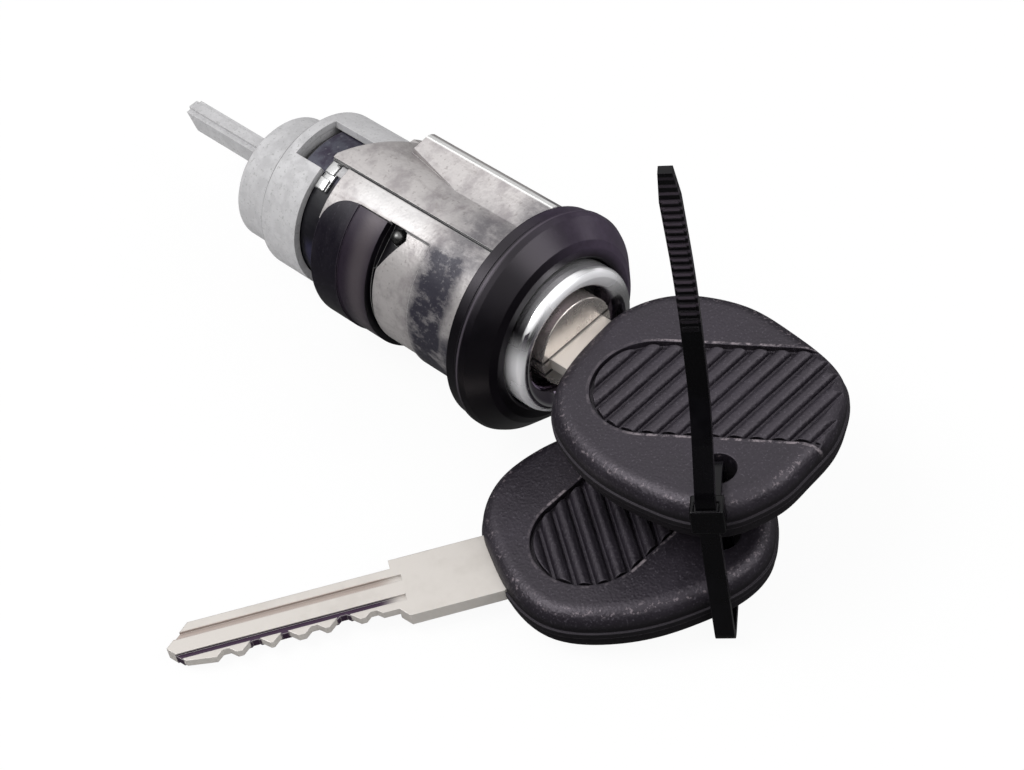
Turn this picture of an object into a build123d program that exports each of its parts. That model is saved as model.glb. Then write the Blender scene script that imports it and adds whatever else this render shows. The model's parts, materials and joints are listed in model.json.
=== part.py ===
"""Key-operated ignition lock cylinder with its two keys on a cable tie.

The lock axis is Y. The origin is on that axis, in the plane of the rear face of
the black front cap, which seats against whatever the lock is pushed into. The
tail points to +Y and the keys to -Y. Z is the face normal of the inserted key.
Angles round the barrel start at +X and grow toward +Z.
"""

from build123d import *
import os
from math import cos, radians, sin, sqrt

# Clearances
RUNNING_GAP = 0.05
SLIDE_GAP = 0.10
LOOSE_GAP = 0.30

# Barrel of the cast housing
BARREL_RADIUS = 13.0
BARREL_LENGTH = 28.6
PLUG_RADIUS = 6.5
NECK_RADIUS = 9.9
NECK_LENGTH = 9.4
NOSE_RADIUS = 9.6
NOSE_LENGTH = 4.8
FLANGE_RADIUS = 14.2
FLANGE_THICKNESS = 2.2
SHELL_THICKNESS = 1.0
SHELL_LENGTH = 4.2
SHELL_SIDE_LENGTH = 0.7
SHELL_SLANT = 30.0
SHELL_SLANT_START = 0.9
SHELL_START_ANGLE = 66.0
SHELL_END_ANGLE = 137.5
SEAM_ANGLE = 102.0
SEAM_WIDTH = 0.4
SEAM_DEPTH = 0.3
WAFER_GROOVE_RADIUS = 7.7

# Rib along the barrel, and its foot by the cap
RIB_LEFT = 2.6
RIB_CREST = 7.1
RIB_RIGHT = 9.0
RIB_HEIGHT = 14.1
RIB_EDGE_DROP = 1.6
RIB_LENGTH = 25.2
RIB_REAR_SLOPE = 2.0
RIB_TAPER_START = 14.0
RIB_TAPER_SIDE = 2.4
RIB_FOOT_LENGTH = 1.3
RIB_FOOT_RADIUS = 13.7
RIB_FOOT_START_ANGLE = 50.0
RIB_FOOT_END_ANGLE = 99.0

# Shallow band on the barrel, in front of the sleeve
BAND_DEPTH = 0.35
BAND_START = 10.3
BAND_START_ANGLE = 118.0
BAND_END_ANGLE = 240.0

# Dark sleeve round the rear of the barrel, and the gap in front of it
SLEEVE_START = 18.1
SLEEVE_LENGTH = 10.5
SLEEVE_THICKNESS = 1.15
SLEEVE_SEAT_RADIUS = BARREL_RADIUS - 0.7
SLEEVE_STEP = 5.5
SLEEVE_STEP_DEPTH = 0.25
SLEEVE_START_ANGLE = 118.5
SLEEVE_SIDE_GAP = 0.8
SLEEVE_END_ANGLE = 380.0
SLEEVE_CORNER = 4.7
GAP_LENGTH = 0.7
GAP_RADIUS = BARREL_RADIUS - 1.3

# Pocket of the retaining catch
POCKET_ANGLE = 130.0
POCKET_RADIUS = BARREL_RADIUS - 1.8
POCKET_OUTLINE = ((18.2, -2.9), (15.2, -2.9), (14.5, -1.6), (17.4, 3.85), (18.2, 3.85))
CATCH_ANGLE = 123.0
CATCH_Y = 16.5
CATCH_RADIUS = 1.1
CATCH_LENGTH = 3.7
CATCH_TOP = BARREL_RADIUS - 0.25
CATCH_SPRING_WIRE = 0.22

# Black front cap and bright trim ring
CAP_RADIUS = 16.0
CAP_RIM = 2.6
CAP_DEPTH = 6.2
CAP_FACE_RADIUS = 12.4
CAP_RIM_LINE = 0.35
TRIM_RADIUS = 10.56
TRIM_FRONT = 8.9
TRIM_WIDEST = 7.4
TRIM_CREST_RADIUS = 9.5
TRIM_THROAT_RADIUS = 6.85
TRIM_THROAT_DEPTH = 3.3
SEAL_THICKNESS = 0.8

# Key plug
PLUG_FACE = 8.6
PLUG_REAR = 38.2
PLUG_FLANGE_RADIUS = 7.35
PLUG_FLANGE_THICKNESS = 1.5
TANG_WIDTH = 4.0
TANG_HEIGHT = 3.0
TANG_LENGTH = 9.0
DRIVE_PIN_RADIUS = 0.9
DRIVE_PIN_OFFSET = 7.2
DRIVE_PIN_TOP = 3.6

# Wafers in the plug
WAFER_COUNT = 6
WAFER_FIRST = 5.0
WAFER_PITCH = 3.9
WAFER_THICKNESS = 1.0
WAFER_HALF_WIDTH = 3.4
WAFER_LUG_HEIGHT = 1.2
WAFER_LUG_START = 0.8
WAFER_LUG_LENGTH = 1.0
SPRING_RADIUS = 0.5
SPRING_WIRE = 0.11
SPRING_LENGTH = 3.9
SPRING_TURNS = 5

# Rear driver: drum, eccentric hub and tail
DRUM_RADIUS = 11.85
DRUM_WALL = 1.0
DRUM_START = 29.0
DRUM_END = 41.3
WEB_THICKNESS = 1.9
DRUM_EDGE = 0.35
HUB_RADIUS = 9.4
HUB_OFFSET = 2.4
HUB_ANGLE = 271.0
HUB_LENGTH = 9.0
TAIL_LENGTH = 19.1
TAIL_WIDTH = 2.9
TAIL_HEIGHT = 3.4
TAIL_TIP_SLOPE = 2.4
TAIL_RIDGE_WIDTH = 1.5
TAIL_RIDGE_HEIGHT = 0.5

# Openings in the drum, and what shows through them
WINDOW_START = 31.3
WINDOW_END = 39.3
WINDOW_START_ANGLE = 72.0
WINDOW_END_ANGLE = 110.0
SLOT_END = 34.1
SLOT_END_ANGLE = 215.0
LATCH_THICKNESS = 0.75
CLIP_THICKNESS = 0.9
CLIP_START_ANGLE = 101.0
CLIP_END_ANGLE = 123.5
CLIP_NOTCH_ANGLE = 112.0
CLIP_NOTCH_HALF = 1.6
CLIP_Y = 31.7
CLIP_LENGTH = 2.0

# Key blade
BLADE_THICKNESS = 1.9
BLADE_HALF_WIDTH = 3.45
BLADE_LENGTH = 42.4
BLADE_TIP_LENGTH = 3.2
NECK_LENGTH_KEY = 12.1
NECK_HALF_WIDTH = 4.9
NECK_EXTRA = 0.1
NECK_SLOPE = 1.2
TONGUE_LENGTH = 17.0
CUT_DEPTHS = (0.7, 1.6, 0.9, 1.2, 1.4, 0.9)
CUT_FLAT = 0.9
GROOVE_DEPTH = 0.4
GROOVE_WIDTH = 1.0
GROOVE_LOW = -1.75
GROOVE_HIGH = 1.6
UNDERCUT_THICKNESS = 1.1

# Key head
HEAD_START = 0.8
HEAD_LENGTH = 37.0
HEAD_END = HEAD_START + HEAD_LENGTH
HEAD_UPPER = 16.9
HEAD_LOWER = 16.4
HEAD_THICKNESS = 7.0
HEAD_ROUNDING = 2.3
HEAD_LIP = 0.25
HEAD_LIP_HEIGHT = 0.9
HEAD_HOLE_RADIUS = 2.5
HEAD_HOLE_FROM_END = 7.9
HEAD_HOLE_ALONG = HEAD_END - HEAD_HOLE_FROM_END
HEAD_HOLE_ACROSS = -7.4
RECESS_RADIUS = 7.9
RECESS_ALONG = 13.9
RECESS_ACROSS = -2.2
RECESS_ANGLE = 32.7
RECESS_DEPTH = 1.0
RECESS_MOAT = 0.5
RIDGE_PITCH = 2.35
RIDGE_PHASE = 0.2
RIDGE_RADIUS = 0.95

# Places of the two keys
HEAD_FRONT_Y = -10.4
KEY_2_HEADING = -33.3
KEY_2_DROP = 14.2
HOLE_SHIFT_X = 0.3
HOLE_SHIFT_Y = 1.4

# Cable tie through both heads
TIE_WIDTH = 2.5
TIE_THICKNESS = 1.1
TIE_REACH = 10.1
TIE_HEADING = 218.5
TIE_REST = 0.3
TIE_HEAD_WIDTH = 4.2
TIE_HEAD_HEIGHT = 4.0
TIE_HEAD_DEPTH = 3.0
TIE_HEAD_Z = 5.4
TIE_HEAD_SHIFT = 0.6
TIE_TAIL_PATH = ((8.6, 0.0), (18.3, 6.9), (36.0, 9.1), (57.2, 6.1))
TIE_TAIL_RADII = (3.5, 20.0, 60.0)
TIE_TIP_LENGTH = 5.0
TIE_TIP_WIDTH = 1.5
TIE_CORNER = 1.6
TIE_TOOTH_PITCH = 1.3
TIE_TOOTH_HEIGHT = 0.25
TIE_TOOTH_COUNT = 18

# Share of the head's length and of its half width, round the outline
HEAD_OUTLINE = (
    (0.0, 0.151),
    (0.028, 0.508),
    (0.107, 0.749),
    (0.223, 0.904),
    (0.38, 1.0),
    (0.56, 0.988),
    (0.702, 0.949),
    (0.858, 0.817),
    (0.943, 0.574),
    (0.984, 0.337),
    (0.997, 0.03),
    (1.0, -0.229),
    (0.974, -0.468),
    (0.934, -0.66),
    (0.822, -0.865),
    (0.657, -0.966),
    (0.499, -1.0),
    (0.305, -0.941),
    (0.123, -0.729),
    (0.028, -0.313),
)


def turned(points):
    """Solid of revolution round the lock axis from (radius, y) points."""
    return revolve(make_face(Polyline(*points, close=True)), Axis.Y)


def ring(inner, outer, start, end):
    """Plain ring on the lock axis; an inner radius of 0 gives a disc."""
    return turned([(inner, start), (outer, start), (outer, end), (inner, end)])


def sector(inner, outer, start, end, first_angle, last_angle):
    """Part of a ring between two angles round the barrel."""
    profile = make_face(Polyline((inner, start), (outer, start), (outer, end), (inner, end), close=True))
    return Rot(0, -last_angle, 0) * revolve(profile, Axis.Y, last_angle - first_angle)


def radial(angle, y):
    """Place whose X axis points outward from the lock axis at an angle round the barrel."""
    return Pos(0, y, 0) * Rot(0, -angle, 0)


def slab(x_range, y_range, z_range):
    """Box between pairs of coordinates."""
    sizes = [high - low for low, high in (x_range, y_range, z_range)]
    centre = [(low + high) / 2 for low, high in (x_range, y_range, z_range)]
    return Pos(*centre) * Box(*sizes)


def coil(radius, wire, length, turns):
    """Round-wire compression spring along +X from the origin."""
    path = Helix(pitch=(length - 2 * wire) / turns, height=length - 2 * wire, radius=radius)
    section = Plane(origin=path @ 0, z_dir=path % 0) * Circle(wire)
    return Pos(wire, 0, 0) * (Rot(0, 90, 0) * sweep(section, path, is_frenet=True))


def wafer_places():
    """Centre of each wafer along the lock axis."""
    return [WAFER_FIRST + index * WAFER_PITCH for index in range(WAFER_COUNT)]


def rib():
    """Rib with one nearly flat face, a bevelled rear end and a low foot by the cap."""
    root = BARREL_RADIUS - 3 * SHELL_THICKNESS
    left_height = sqrt(BARREL_RADIUS**2 - RIB_LEFT**2)
    section = Polyline(
        (RIB_LEFT, root),
        (RIB_LEFT, left_height),
        (RIB_CREST, RIB_HEIGHT),
        (RIB_CREST + RIB_EDGE_DROP / 2, RIB_HEIGHT - RIB_EDGE_DROP / 4),
        (RIB_RIGHT, RIB_HEIGHT - RIB_EDGE_DROP),
        (RIB_RIGHT, root - 1),
        close=True,
    )
    body = extrude(Plane.XZ * make_face(section), amount=-RIB_LENGTH)
    bevel = Polyline(
        (RIB_LENGTH - RIB_REAR_SLOPE, RIB_HEIGHT + 1),
        (RIB_LENGTH + 1, RIB_HEIGHT + 1),
        (RIB_LENGTH + 1, RIB_HEIGHT - 2 * RIB_REAR_SLOPE),
        close=True,
    )
    cutter = extrude(Plane.YZ * make_face(bevel), amount=2 * RIB_RIGHT)
    taper = Polyline(
        (0, RIB_TAPER_START),
        (RIB_LEFT, RIB_TAPER_START),
        (RIB_LEFT + RIB_TAPER_SIDE, RIB_LENGTH),
        (0, RIB_LENGTH),
        close=True,
    )
    cutter += extrude(make_face(taper), amount=2 * RIB_HEIGHT)
    foot = sector(
        NECK_RADIUS, RIB_FOOT_RADIUS, 0, RIB_FOOT_LENGTH, RIB_FOOT_START_ANGLE, RIB_FOOT_END_ANGLE
    )
    return body - cutter + foot


def housing():
    """Cast barrel with its nose, cap flange, rib, rear shell and bearing neck."""
    barrel_end = BARREL_LENGTH
    bore = PLUG_RADIUS + RUNNING_GAP
    shell_end = barrel_end + SHELL_LENGTH
    body = turned([
        (bore, -NOSE_LENGTH),
        (NOSE_RADIUS, -NOSE_LENGTH),
        (NOSE_RADIUS, -FLANGE_THICKNESS),
        (FLANGE_RADIUS, -FLANGE_THICKNESS),
        (FLANGE_RADIUS, 0),
        (BARREL_RADIUS, 0),
        (BARREL_RADIUS, shell_end),
        (BARREL_RADIUS - SHELL_THICKNESS, shell_end),
        (BARREL_RADIUS - SHELL_THICKNESS, barrel_end),
        (NECK_RADIUS, barrel_end),
        (NECK_RADIUS, barrel_end + NECK_LENGTH),
        (bore, barrel_end + NECK_LENGTH),
    ])
    body += rib()
    outside = BARREL_RADIUS + 1
    shell_inner = NECK_RADIUS + SHELL_THICKNESS
    body -= sector(shell_inner, outside, barrel_end, shell_end + 1, SHELL_END_ANGLE, SHELL_START_ANGLE + 360)
    side_end = barrel_end + SHELL_SIDE_LENGTH
    body -= sector(shell_inner, outside, side_end, shell_end + 1, SEAM_ANGLE, SHELL_END_ANGLE + 1)
    middle = (SHELL_START_ANGLE + SEAM_ANGLE) / 2
    slant_start = BARREL_RADIUS * sin(radians(SEAM_ANGLE - middle)) - SHELL_SLANT_START
    slant = radial(middle, shell_end) * Pos(shell_inner, 0, slant_start) * Rot(-SHELL_SLANT, 0, 0)
    body -= slant * Box(outside, 2 * SHELL_LENGTH, outside, align=(Align.MIN, Align.MIN, Align.MAX))
    seat_start = SLEEVE_START_ANGLE - SLEEVE_SIDE_GAP
    seat_end = SLEEVE_END_ANGLE + SLEEVE_SIDE_GAP
    seat = sector(SLEEVE_SEAT_RADIUS, outside, SLEEVE_START, barrel_end, seat_start, seat_end)
    body -= seat - sleeve_corner(SLIDE_GAP)
    body -= sector(GAP_RADIUS, outside, SLEEVE_START - GAP_LENGTH, SLEEVE_START, seat_start, seat_end)
    pocket = extrude(Plane.YZ * make_face(Polyline(*POCKET_OUTLINE, close=True)), amount=outside)
    body -= radial(POCKET_ANGLE, 0) * Pos(POCKET_RADIUS, 0, 0) * pocket
    body -= sector(
        BARREL_RADIUS - BAND_DEPTH,
        outside,
        BAND_START,
        SLEEVE_START,
        BAND_START_ANGLE,
        BAND_END_ANGLE,
    )
    seam_inner = BARREL_RADIUS - SEAM_DEPTH
    body -= radial(SEAM_ANGLE, 0) * slab(
        (seam_inner, outside),
        (RIB_FOOT_LENGTH, shell_end + 1),
        (-SEAM_WIDTH / 2, SEAM_WIDTH / 2),
    )
    counterbore = PLUG_FLANGE_RADIUS + RUNNING_GAP
    body -= ring(0, counterbore, -NOSE_LENGTH - 1, -NOSE_LENGTH + PLUG_FLANGE_THICKNESS + SLIDE_GAP)
    groove_half = WAFER_HALF_WIDTH + SLIDE_GAP
    last_wafer = wafer_places()[-1]
    body -= slab(
        (0, WAFER_GROOVE_RADIUS),
        (WAFER_FIRST - WAFER_PITCH / 2, last_wafer + WAFER_PITCH / 2),
        (-groove_half, groove_half),
    )
    drill = radial(CATCH_ANGLE, CATCH_Y) * Rot(0, 90, 0) * Pos(0, 0, catch_bore_floor())
    body -= drill * Cylinder(CATCH_RADIUS + SLIDE_GAP, outside, align=(Align.CENTER, Align.CENTER, Align.MIN))
    return body


def catch_bore_floor():
    """Radius at which the blind hole of the retaining catch ends."""
    return PLUG_RADIUS + RUNNING_GAP + SHELL_THICKNESS / 2


def front_cap():
    """Moulded cap over the housing flange, domed toward the keyway."""
    inner = TRIM_RADIUS + LOOSE_GAP
    flange_bore = FLANGE_RADIUS + RUNNING_GAP
    cap = turned([
        (flange_bore, 0),
        (CAP_RADIUS - CAP_RIM_LINE, 0),
        (CAP_RADIUS - CAP_RIM_LINE, -CAP_RIM + 3 * CAP_RIM_LINE),
        (CAP_RADIUS, -CAP_RIM + 2 * CAP_RIM_LINE),
        (CAP_RADIUS, -CAP_RIM),
        (CAP_RADIUS - CAP_RIM_LINE, -CAP_RIM - 2 * CAP_RIM_LINE),
        (CAP_FACE_RADIUS + 1, -CAP_DEPTH + 1.5 * CAP_RIM_LINE),
        (CAP_FACE_RADIUS, -CAP_DEPTH),
        (inner + CAP_RIM_LINE, -CAP_DEPTH),
        (inner, -CAP_DEPTH + CAP_RIM_LINE),
        (inner, -FLANGE_THICKNESS),
        (flange_bore, -FLANGE_THICKNESS),
    ])
    return cap


def trim_ring():
    """Bright ring round the plug, rolled outside and funnelled inside."""
    lip = Line((NOSE_RADIUS + RUNNING_GAP, -FLANGE_THICKNESS), (TRIM_RADIUS, -FLANGE_THICKNESS))
    side = Line((TRIM_RADIUS, -FLANGE_THICKNESS), (TRIM_RADIUS, -TRIM_WIDEST))
    roll = ThreePointArc(
        (TRIM_RADIUS, -TRIM_WIDEST),
        (TRIM_RADIUS - 0.35, -TRIM_FRONT + 0.4),
        (TRIM_CREST_RADIUS, -TRIM_FRONT),
    )
    funnel = ThreePointArc(
        (TRIM_CREST_RADIUS, -TRIM_FRONT),
        (TRIM_CREST_RADIUS - 1.2, -TRIM_FRONT + 0.6),
        (TRIM_THROAT_RADIUS, -TRIM_FRONT + TRIM_THROAT_DEPTH),
    )
    back = Polyline(
        (TRIM_THROAT_RADIUS, -TRIM_FRONT + TRIM_THROAT_DEPTH),
        (TRIM_THROAT_RADIUS, -NOSE_LENGTH),
        (NOSE_RADIUS + RUNNING_GAP, -NOSE_LENGTH),
        (NOSE_RADIUS + RUNNING_GAP, -FLANGE_THICKNESS),
    )
    profile = make_face([lip, side, roll, funnel, *back.edges()])
    groove = ring(
        0, TRIM_THROAT_RADIUS + SEAL_THICKNESS, -NOSE_LENGTH - SEAL_THICKNESS, -NOSE_LENGTH
    )
    return revolve(profile, Axis.Y) - groove


def dust_seal():
    """Soft ring behind the trim ring's throat, round the plug."""
    return ring(
        PLUG_RADIUS + RUNNING_GAP,
        TRIM_THROAT_RADIUS + SEAL_THICKNESS - RUNNING_GAP,
        -NOSE_LENGTH - SEAL_THICKNESS + RUNNING_GAP,
        -NOSE_LENGTH - RUNNING_GAP,
    )


def keyway():
    """Slot for the blade, wider at the front where the key's neck enters."""
    half_thickness = BLADE_THICKNESS / 2 + SLIDE_GAP
    neck_end = HEAD_FRONT_Y + NECK_LENGTH_KEY + LOOSE_GAP
    blade_end = HEAD_FRONT_Y + BLADE_LENGTH + LOOSE_GAP
    deep = slab(
        (-BLADE_HALF_WIDTH - SLIDE_GAP, BLADE_HALF_WIDTH + SLIDE_GAP),
        (-PLUG_FACE - 1, blade_end),
        (-half_thickness, half_thickness),
    )
    mouth = slab(
        (-NECK_HALF_WIDTH - NECK_EXTRA - SLIDE_GAP, NECK_HALF_WIDTH + SLIDE_GAP),
        (-PLUG_FACE - 1, neck_end),
        (-half_thickness, half_thickness),
    )
    for across in (GROOVE_LOW, GROOVE_HIGH):
        ward_half = GROOVE_WIDTH / 2 - SLIDE_GAP
        for side in (-1, 1):
            tip = side * (half_thickness - GROOVE_DEPTH / 2 - SLIDE_GAP)
            root = side * (half_thickness + 1)
            deep -= slab(
                (across - ward_half, across + ward_half),
                (neck_end, blade_end + 1),
                (min(tip, root), max(tip, root)),
            )
    return deep + mouth


def spring_pocket(centre_y, oversize):
    """Space beside a wafer for its lug and its spring."""
    low_z = WAFER_HALF_WIDTH - SLIDE_GAP
    high_z = WAFER_HALF_WIDTH + WAFER_LUG_HEIGHT + SLIDE_GAP
    half_y = SPRING_RADIUS + SPRING_WIRE + oversize
    spring_start = WAFER_LUG_START - SPRING_LENGTH - SLIDE_GAP
    lug_end = WAFER_LUG_START + WAFER_LUG_LENGTH + WAFER_LUG_LENGTH
    return slab((spring_start, lug_end), (centre_y - half_y, centre_y + half_y), (low_z, high_z))


def plug():
    """Turning plug with its keyway, wafer slots, spring pockets and rear tang."""
    nose = PLUG_RADIUS - SLIDE_GAP
    body = turned([
        (0, -PLUG_FACE),
        (nose - SLIDE_GAP, -PLUG_FACE),
        (nose, -PLUG_FACE + SLIDE_GAP),
        (nose, -NOSE_LENGTH),
        (PLUG_FLANGE_RADIUS, -NOSE_LENGTH),
        (PLUG_FLANGE_RADIUS, -NOSE_LENGTH + PLUG_FLANGE_THICKNESS),
        (PLUG_RADIUS, -NOSE_LENGTH + PLUG_FLANGE_THICKNESS),
        (PLUG_RADIUS, PLUG_REAR),
        (0, PLUG_REAR),
    ])
    body += slab(
        (-TANG_WIDTH / 2, TANG_WIDTH / 2),
        (PLUG_REAR - 1, PLUG_REAR + TANG_LENGTH),
        (-TANG_HEIGHT / 2, TANG_HEIGHT / 2),
    )
    body -= keyway()
    slot_half_y = WAFER_THICKNESS / 2 + SLIDE_GAP
    slot_half_z = WAFER_HALF_WIDTH + SLIDE_GAP
    for centre_y in wafer_places():
        body -= slab(
            (-PLUG_RADIUS - 1, PLUG_RADIUS + 1),
            (centre_y - slot_half_y, centre_y + slot_half_y),
            (-slot_half_z, slot_half_z),
        )
        body -= spring_pocket(centre_y, SLIDE_GAP)
    hole = Pos(0, PLUG_REAR + DRIVE_PIN_OFFSET, 0) * Cylinder(DRIVE_PIN_RADIUS, 2 * PLUG_RADIUS)
    return body - hole


def wafer(centre_y):
    """Stamped wafer with rounded ends, a window for the blade and a spring lug."""
    half_y = WAFER_THICKNESS / 2
    plate = ring(0, PLUG_RADIUS - RUNNING_GAP, centre_y - half_y, centre_y + half_y)
    plate &= slab(
        (-PLUG_RADIUS, PLUG_RADIUS),
        (centre_y - 1, centre_y + 1),
        (-WAFER_HALF_WIDTH, WAFER_HALF_WIDTH),
    )
    plate += slab(
        (WAFER_LUG_START, WAFER_LUG_START + WAFER_LUG_LENGTH),
        (centre_y - half_y, centre_y + half_y),
        (0, WAFER_HALF_WIDTH + WAFER_LUG_HEIGHT),
    )
    window_half = BLADE_HALF_WIDTH + SLIDE_GAP
    return plate - slab(
        (-window_half, window_half),
        (centre_y - 1, centre_y + 1),
        (-BLADE_THICKNESS / 2 - SLIDE_GAP, BLADE_THICKNESS / 2 + SLIDE_GAP),
    )


def wafer_springs():
    """One small spring behind each wafer's lug."""
    height = WAFER_HALF_WIDTH + WAFER_LUG_HEIGHT / 2
    start = WAFER_LUG_START - SPRING_LENGTH
    spring = coil(SPRING_RADIUS, SPRING_WIRE, SPRING_LENGTH - RUNNING_GAP, SPRING_TURNS)
    return [Pos(start, centre_y, height) * spring for centre_y in wafer_places()]


def sleeve_corner(gap):
    """Block at the sleeve's rear upper corner, hollowed by its rounding grown by a gap."""
    depth = 3 * SLEEVE_THICKNESS
    upright = (Align.CENTER, Align.CENTER, Align.MIN)
    place = radial(SLEEVE_START_ANGLE, SLEEVE_START + SLEEVE_LENGTH) * Rot(0, 90, 0)
    block = Box(2 * SLEEVE_CORNER, 2 * SLEEVE_CORNER, depth, align=upright)
    rounding = Pos(-SLEEVE_CORNER, -SLEEVE_CORNER, 0) * Cylinder(SLEEVE_CORNER + gap, depth, align=upright)
    return place * Pos(0, 0, SLEEVE_SEAT_RADIUS - 2 * SHELL_THICKNESS) * (block - rounding)


def locking_sleeve():
    """Dark open sleeve with a rounded corner and a shallow step round it."""
    inner = SLEEVE_SEAT_RADIUS + RUNNING_GAP
    outer = SLEEVE_SEAT_RADIUS + SLEEVE_THICKNESS
    end = SLEEVE_START + SLEEVE_LENGTH
    step = SLEEVE_START + SLEEVE_STEP
    start = SLEEVE_START + RUNNING_GAP
    body = sector(inner, outer, start, step, SLEEVE_START_ANGLE, SLEEVE_END_ANGLE)
    body += sector(inner, outer + SLEEVE_STEP_DEPTH, step, end, SLEEVE_START_ANGLE, SLEEVE_END_ANGLE)
    return body - sleeve_corner(0)


def latch_ring():
    """Dark steel ring on the housing's neck, seen through the drum's openings."""
    inner = NECK_RADIUS + RUNNING_GAP
    return ring(inner, inner + LATCH_THICKNESS, BARREL_LENGTH, BARREL_LENGTH + NECK_LENGTH)


def stop_clip():
    """Bright clip on the latch ring, which stops the drum at the end of its slot."""
    inner = NECK_RADIUS + RUNNING_GAP + LATCH_THICKNESS
    outer = inner + CLIP_THICKNESS
    clip = sector(inner, outer, CLIP_Y, CLIP_Y + CLIP_LENGTH, CLIP_START_ANGLE, CLIP_END_ANGLE)
    notch_start = CLIP_NOTCH_ANGLE - CLIP_NOTCH_HALF
    notch_end = CLIP_NOTCH_ANGLE + CLIP_NOTCH_HALF
    notch_floor = inner + CLIP_THICKNESS / 2
    return clip - sector(notch_floor, outer + 1, CLIP_Y, CLIP_Y + CLIP_LENGTH, notch_start, notch_end)


def thrust_washer():
    """Flat washer between the housing's neck and the driver's web."""
    start = BARREL_LENGTH + NECK_LENGTH
    web_start = DRUM_END - WEB_THICKNESS
    return ring(PLUG_RADIUS + SLIDE_GAP, NECK_RADIUS, start + RUNNING_GAP, web_start - LOOSE_GAP)


def tail():
    """Drive tail with a raised ridge and a slanted tip."""
    start = DRUM_END + HUB_LENGTH
    end = start + TAIL_LENGTH
    bar = slab((-TAIL_WIDTH / 2, TAIL_WIDTH / 2), (start - 1, end), (-TAIL_HEIGHT / 2, TAIL_HEIGHT / 2))
    ridge_low = TAIL_HEIGHT / 2 - TAIL_RIDGE_HEIGHT
    for side in (-1, 1):
        edge = side * TAIL_RIDGE_WIDTH / 2
        far = side * TAIL_WIDTH
        bar -= slab((min(edge, far), max(edge, far)), (start, end), (ridge_low, TAIL_HEIGHT))
    tip = Polyline(
        (end - TAIL_TIP_SLOPE, -TAIL_HEIGHT), (end + 1, -TAIL_HEIGHT), (end + 1, TAIL_HEIGHT), close=True
    )
    return bar - extrude(Plane.YZ * make_face(tip), amount=TAIL_WIDTH, both=True)


def driver():
    """Cast driver: open drum over the housing's neck, eccentric hub and tail."""
    inner = DRUM_RADIUS - DRUM_WALL
    web_start = DRUM_END - WEB_THICKNESS
    body = turned([
        (inner, DRUM_START),
        (DRUM_RADIUS - DRUM_EDGE, DRUM_START),
        (DRUM_RADIUS, DRUM_START + DRUM_EDGE),
        (DRUM_RADIUS, DRUM_END - DRUM_EDGE),
        (DRUM_RADIUS - DRUM_EDGE, DRUM_END),
        (0, DRUM_END),
        (0, web_start),
        (inner, web_start),
    ])
    hub_x = HUB_OFFSET * cos(radians(HUB_ANGLE))
    hub_z = HUB_OFFSET * sin(radians(HUB_ANGLE))
    body += Pos(hub_x, 0, hub_z) * turned([
        (0, DRUM_END - 1),
        (HUB_RADIUS, DRUM_END - 1),
        (HUB_RADIUS, DRUM_END + HUB_LENGTH - 2 * DRUM_EDGE),
        (HUB_RADIUS - 2 * DRUM_EDGE, DRUM_END + HUB_LENGTH),
        (0, DRUM_END + HUB_LENGTH),
    ])
    body += tail()
    body -= sector(
        inner - 1, DRUM_RADIUS + 1, WINDOW_START, WINDOW_END, WINDOW_START_ANGLE, WINDOW_END_ANGLE
    )
    body -= sector(inner - 1, DRUM_RADIUS + 1, DRUM_START - 1, SLOT_END, WINDOW_END_ANGLE - 1, SLOT_END_ANGLE)
    socket_end = PLUG_REAR + TANG_LENGTH + LOOSE_GAP
    half_x = TANG_WIDTH / 2 + RUNNING_GAP
    half_z = TANG_HEIGHT / 2 + RUNNING_GAP
    body -= slab((-half_x, half_x), (web_start - 1, socket_end), (-half_z, half_z))
    return body - drive_pin_hole()


def drive_pin_hole():
    """Blind hole into the hub, from below, for the cross pin."""
    bottom = -2 * HUB_RADIUS
    hole = Cylinder(DRIVE_PIN_RADIUS, DRIVE_PIN_TOP - bottom, align=(Align.CENTER, Align.CENTER, Align.MIN))
    return Pos(0, PLUG_REAR + DRIVE_PIN_OFFSET, bottom) * hole


def drive_pin():
    """Cross pin that holds the plug's tang in the driver's hub."""
    hub_x = HUB_OFFSET * cos(radians(HUB_ANGLE))
    hub_z = HUB_OFFSET * sin(radians(HUB_ANGLE))
    bottom = hub_z - sqrt(HUB_RADIUS**2 - (abs(hub_x) + DRIVE_PIN_RADIUS) ** 2) + RUNNING_GAP
    length = DRIVE_PIN_TOP - RUNNING_GAP - bottom
    pin = Cylinder(DRIVE_PIN_RADIUS - RUNNING_GAP, length, align=(Align.CENTER, Align.CENTER, Align.MIN))
    return Pos(0, PLUG_REAR + DRIVE_PIN_OFFSET, bottom) * pin


def catch_pin():
    """Sprung retaining catch with a domed head."""
    length = CATCH_LENGTH - CATCH_RADIUS
    stem = Cylinder(CATCH_RADIUS, length, align=(Align.CENTER, Align.CENTER, Align.MAX))
    dome = Sphere(CATCH_RADIUS)
    return radial(CATCH_ANGLE, CATCH_Y) * Rot(0, 90, 0) * Pos(0, 0, CATCH_TOP - CATCH_RADIUS) * (stem + dome)


def catch_spring():
    """Spring under the retaining catch."""
    bottom = catch_bore_floor() + RUNNING_GAP
    length = CATCH_TOP - CATCH_LENGTH - bottom - RUNNING_GAP
    mean_radius = CATCH_RADIUS - CATCH_SPRING_WIRE
    return radial(CATCH_ANGLE, CATCH_Y) * Pos(bottom, 0, 0) * coil(
        mean_radius, CATCH_SPRING_WIRE / 2, length, WAFER_COUNT / 2
    )


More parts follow.
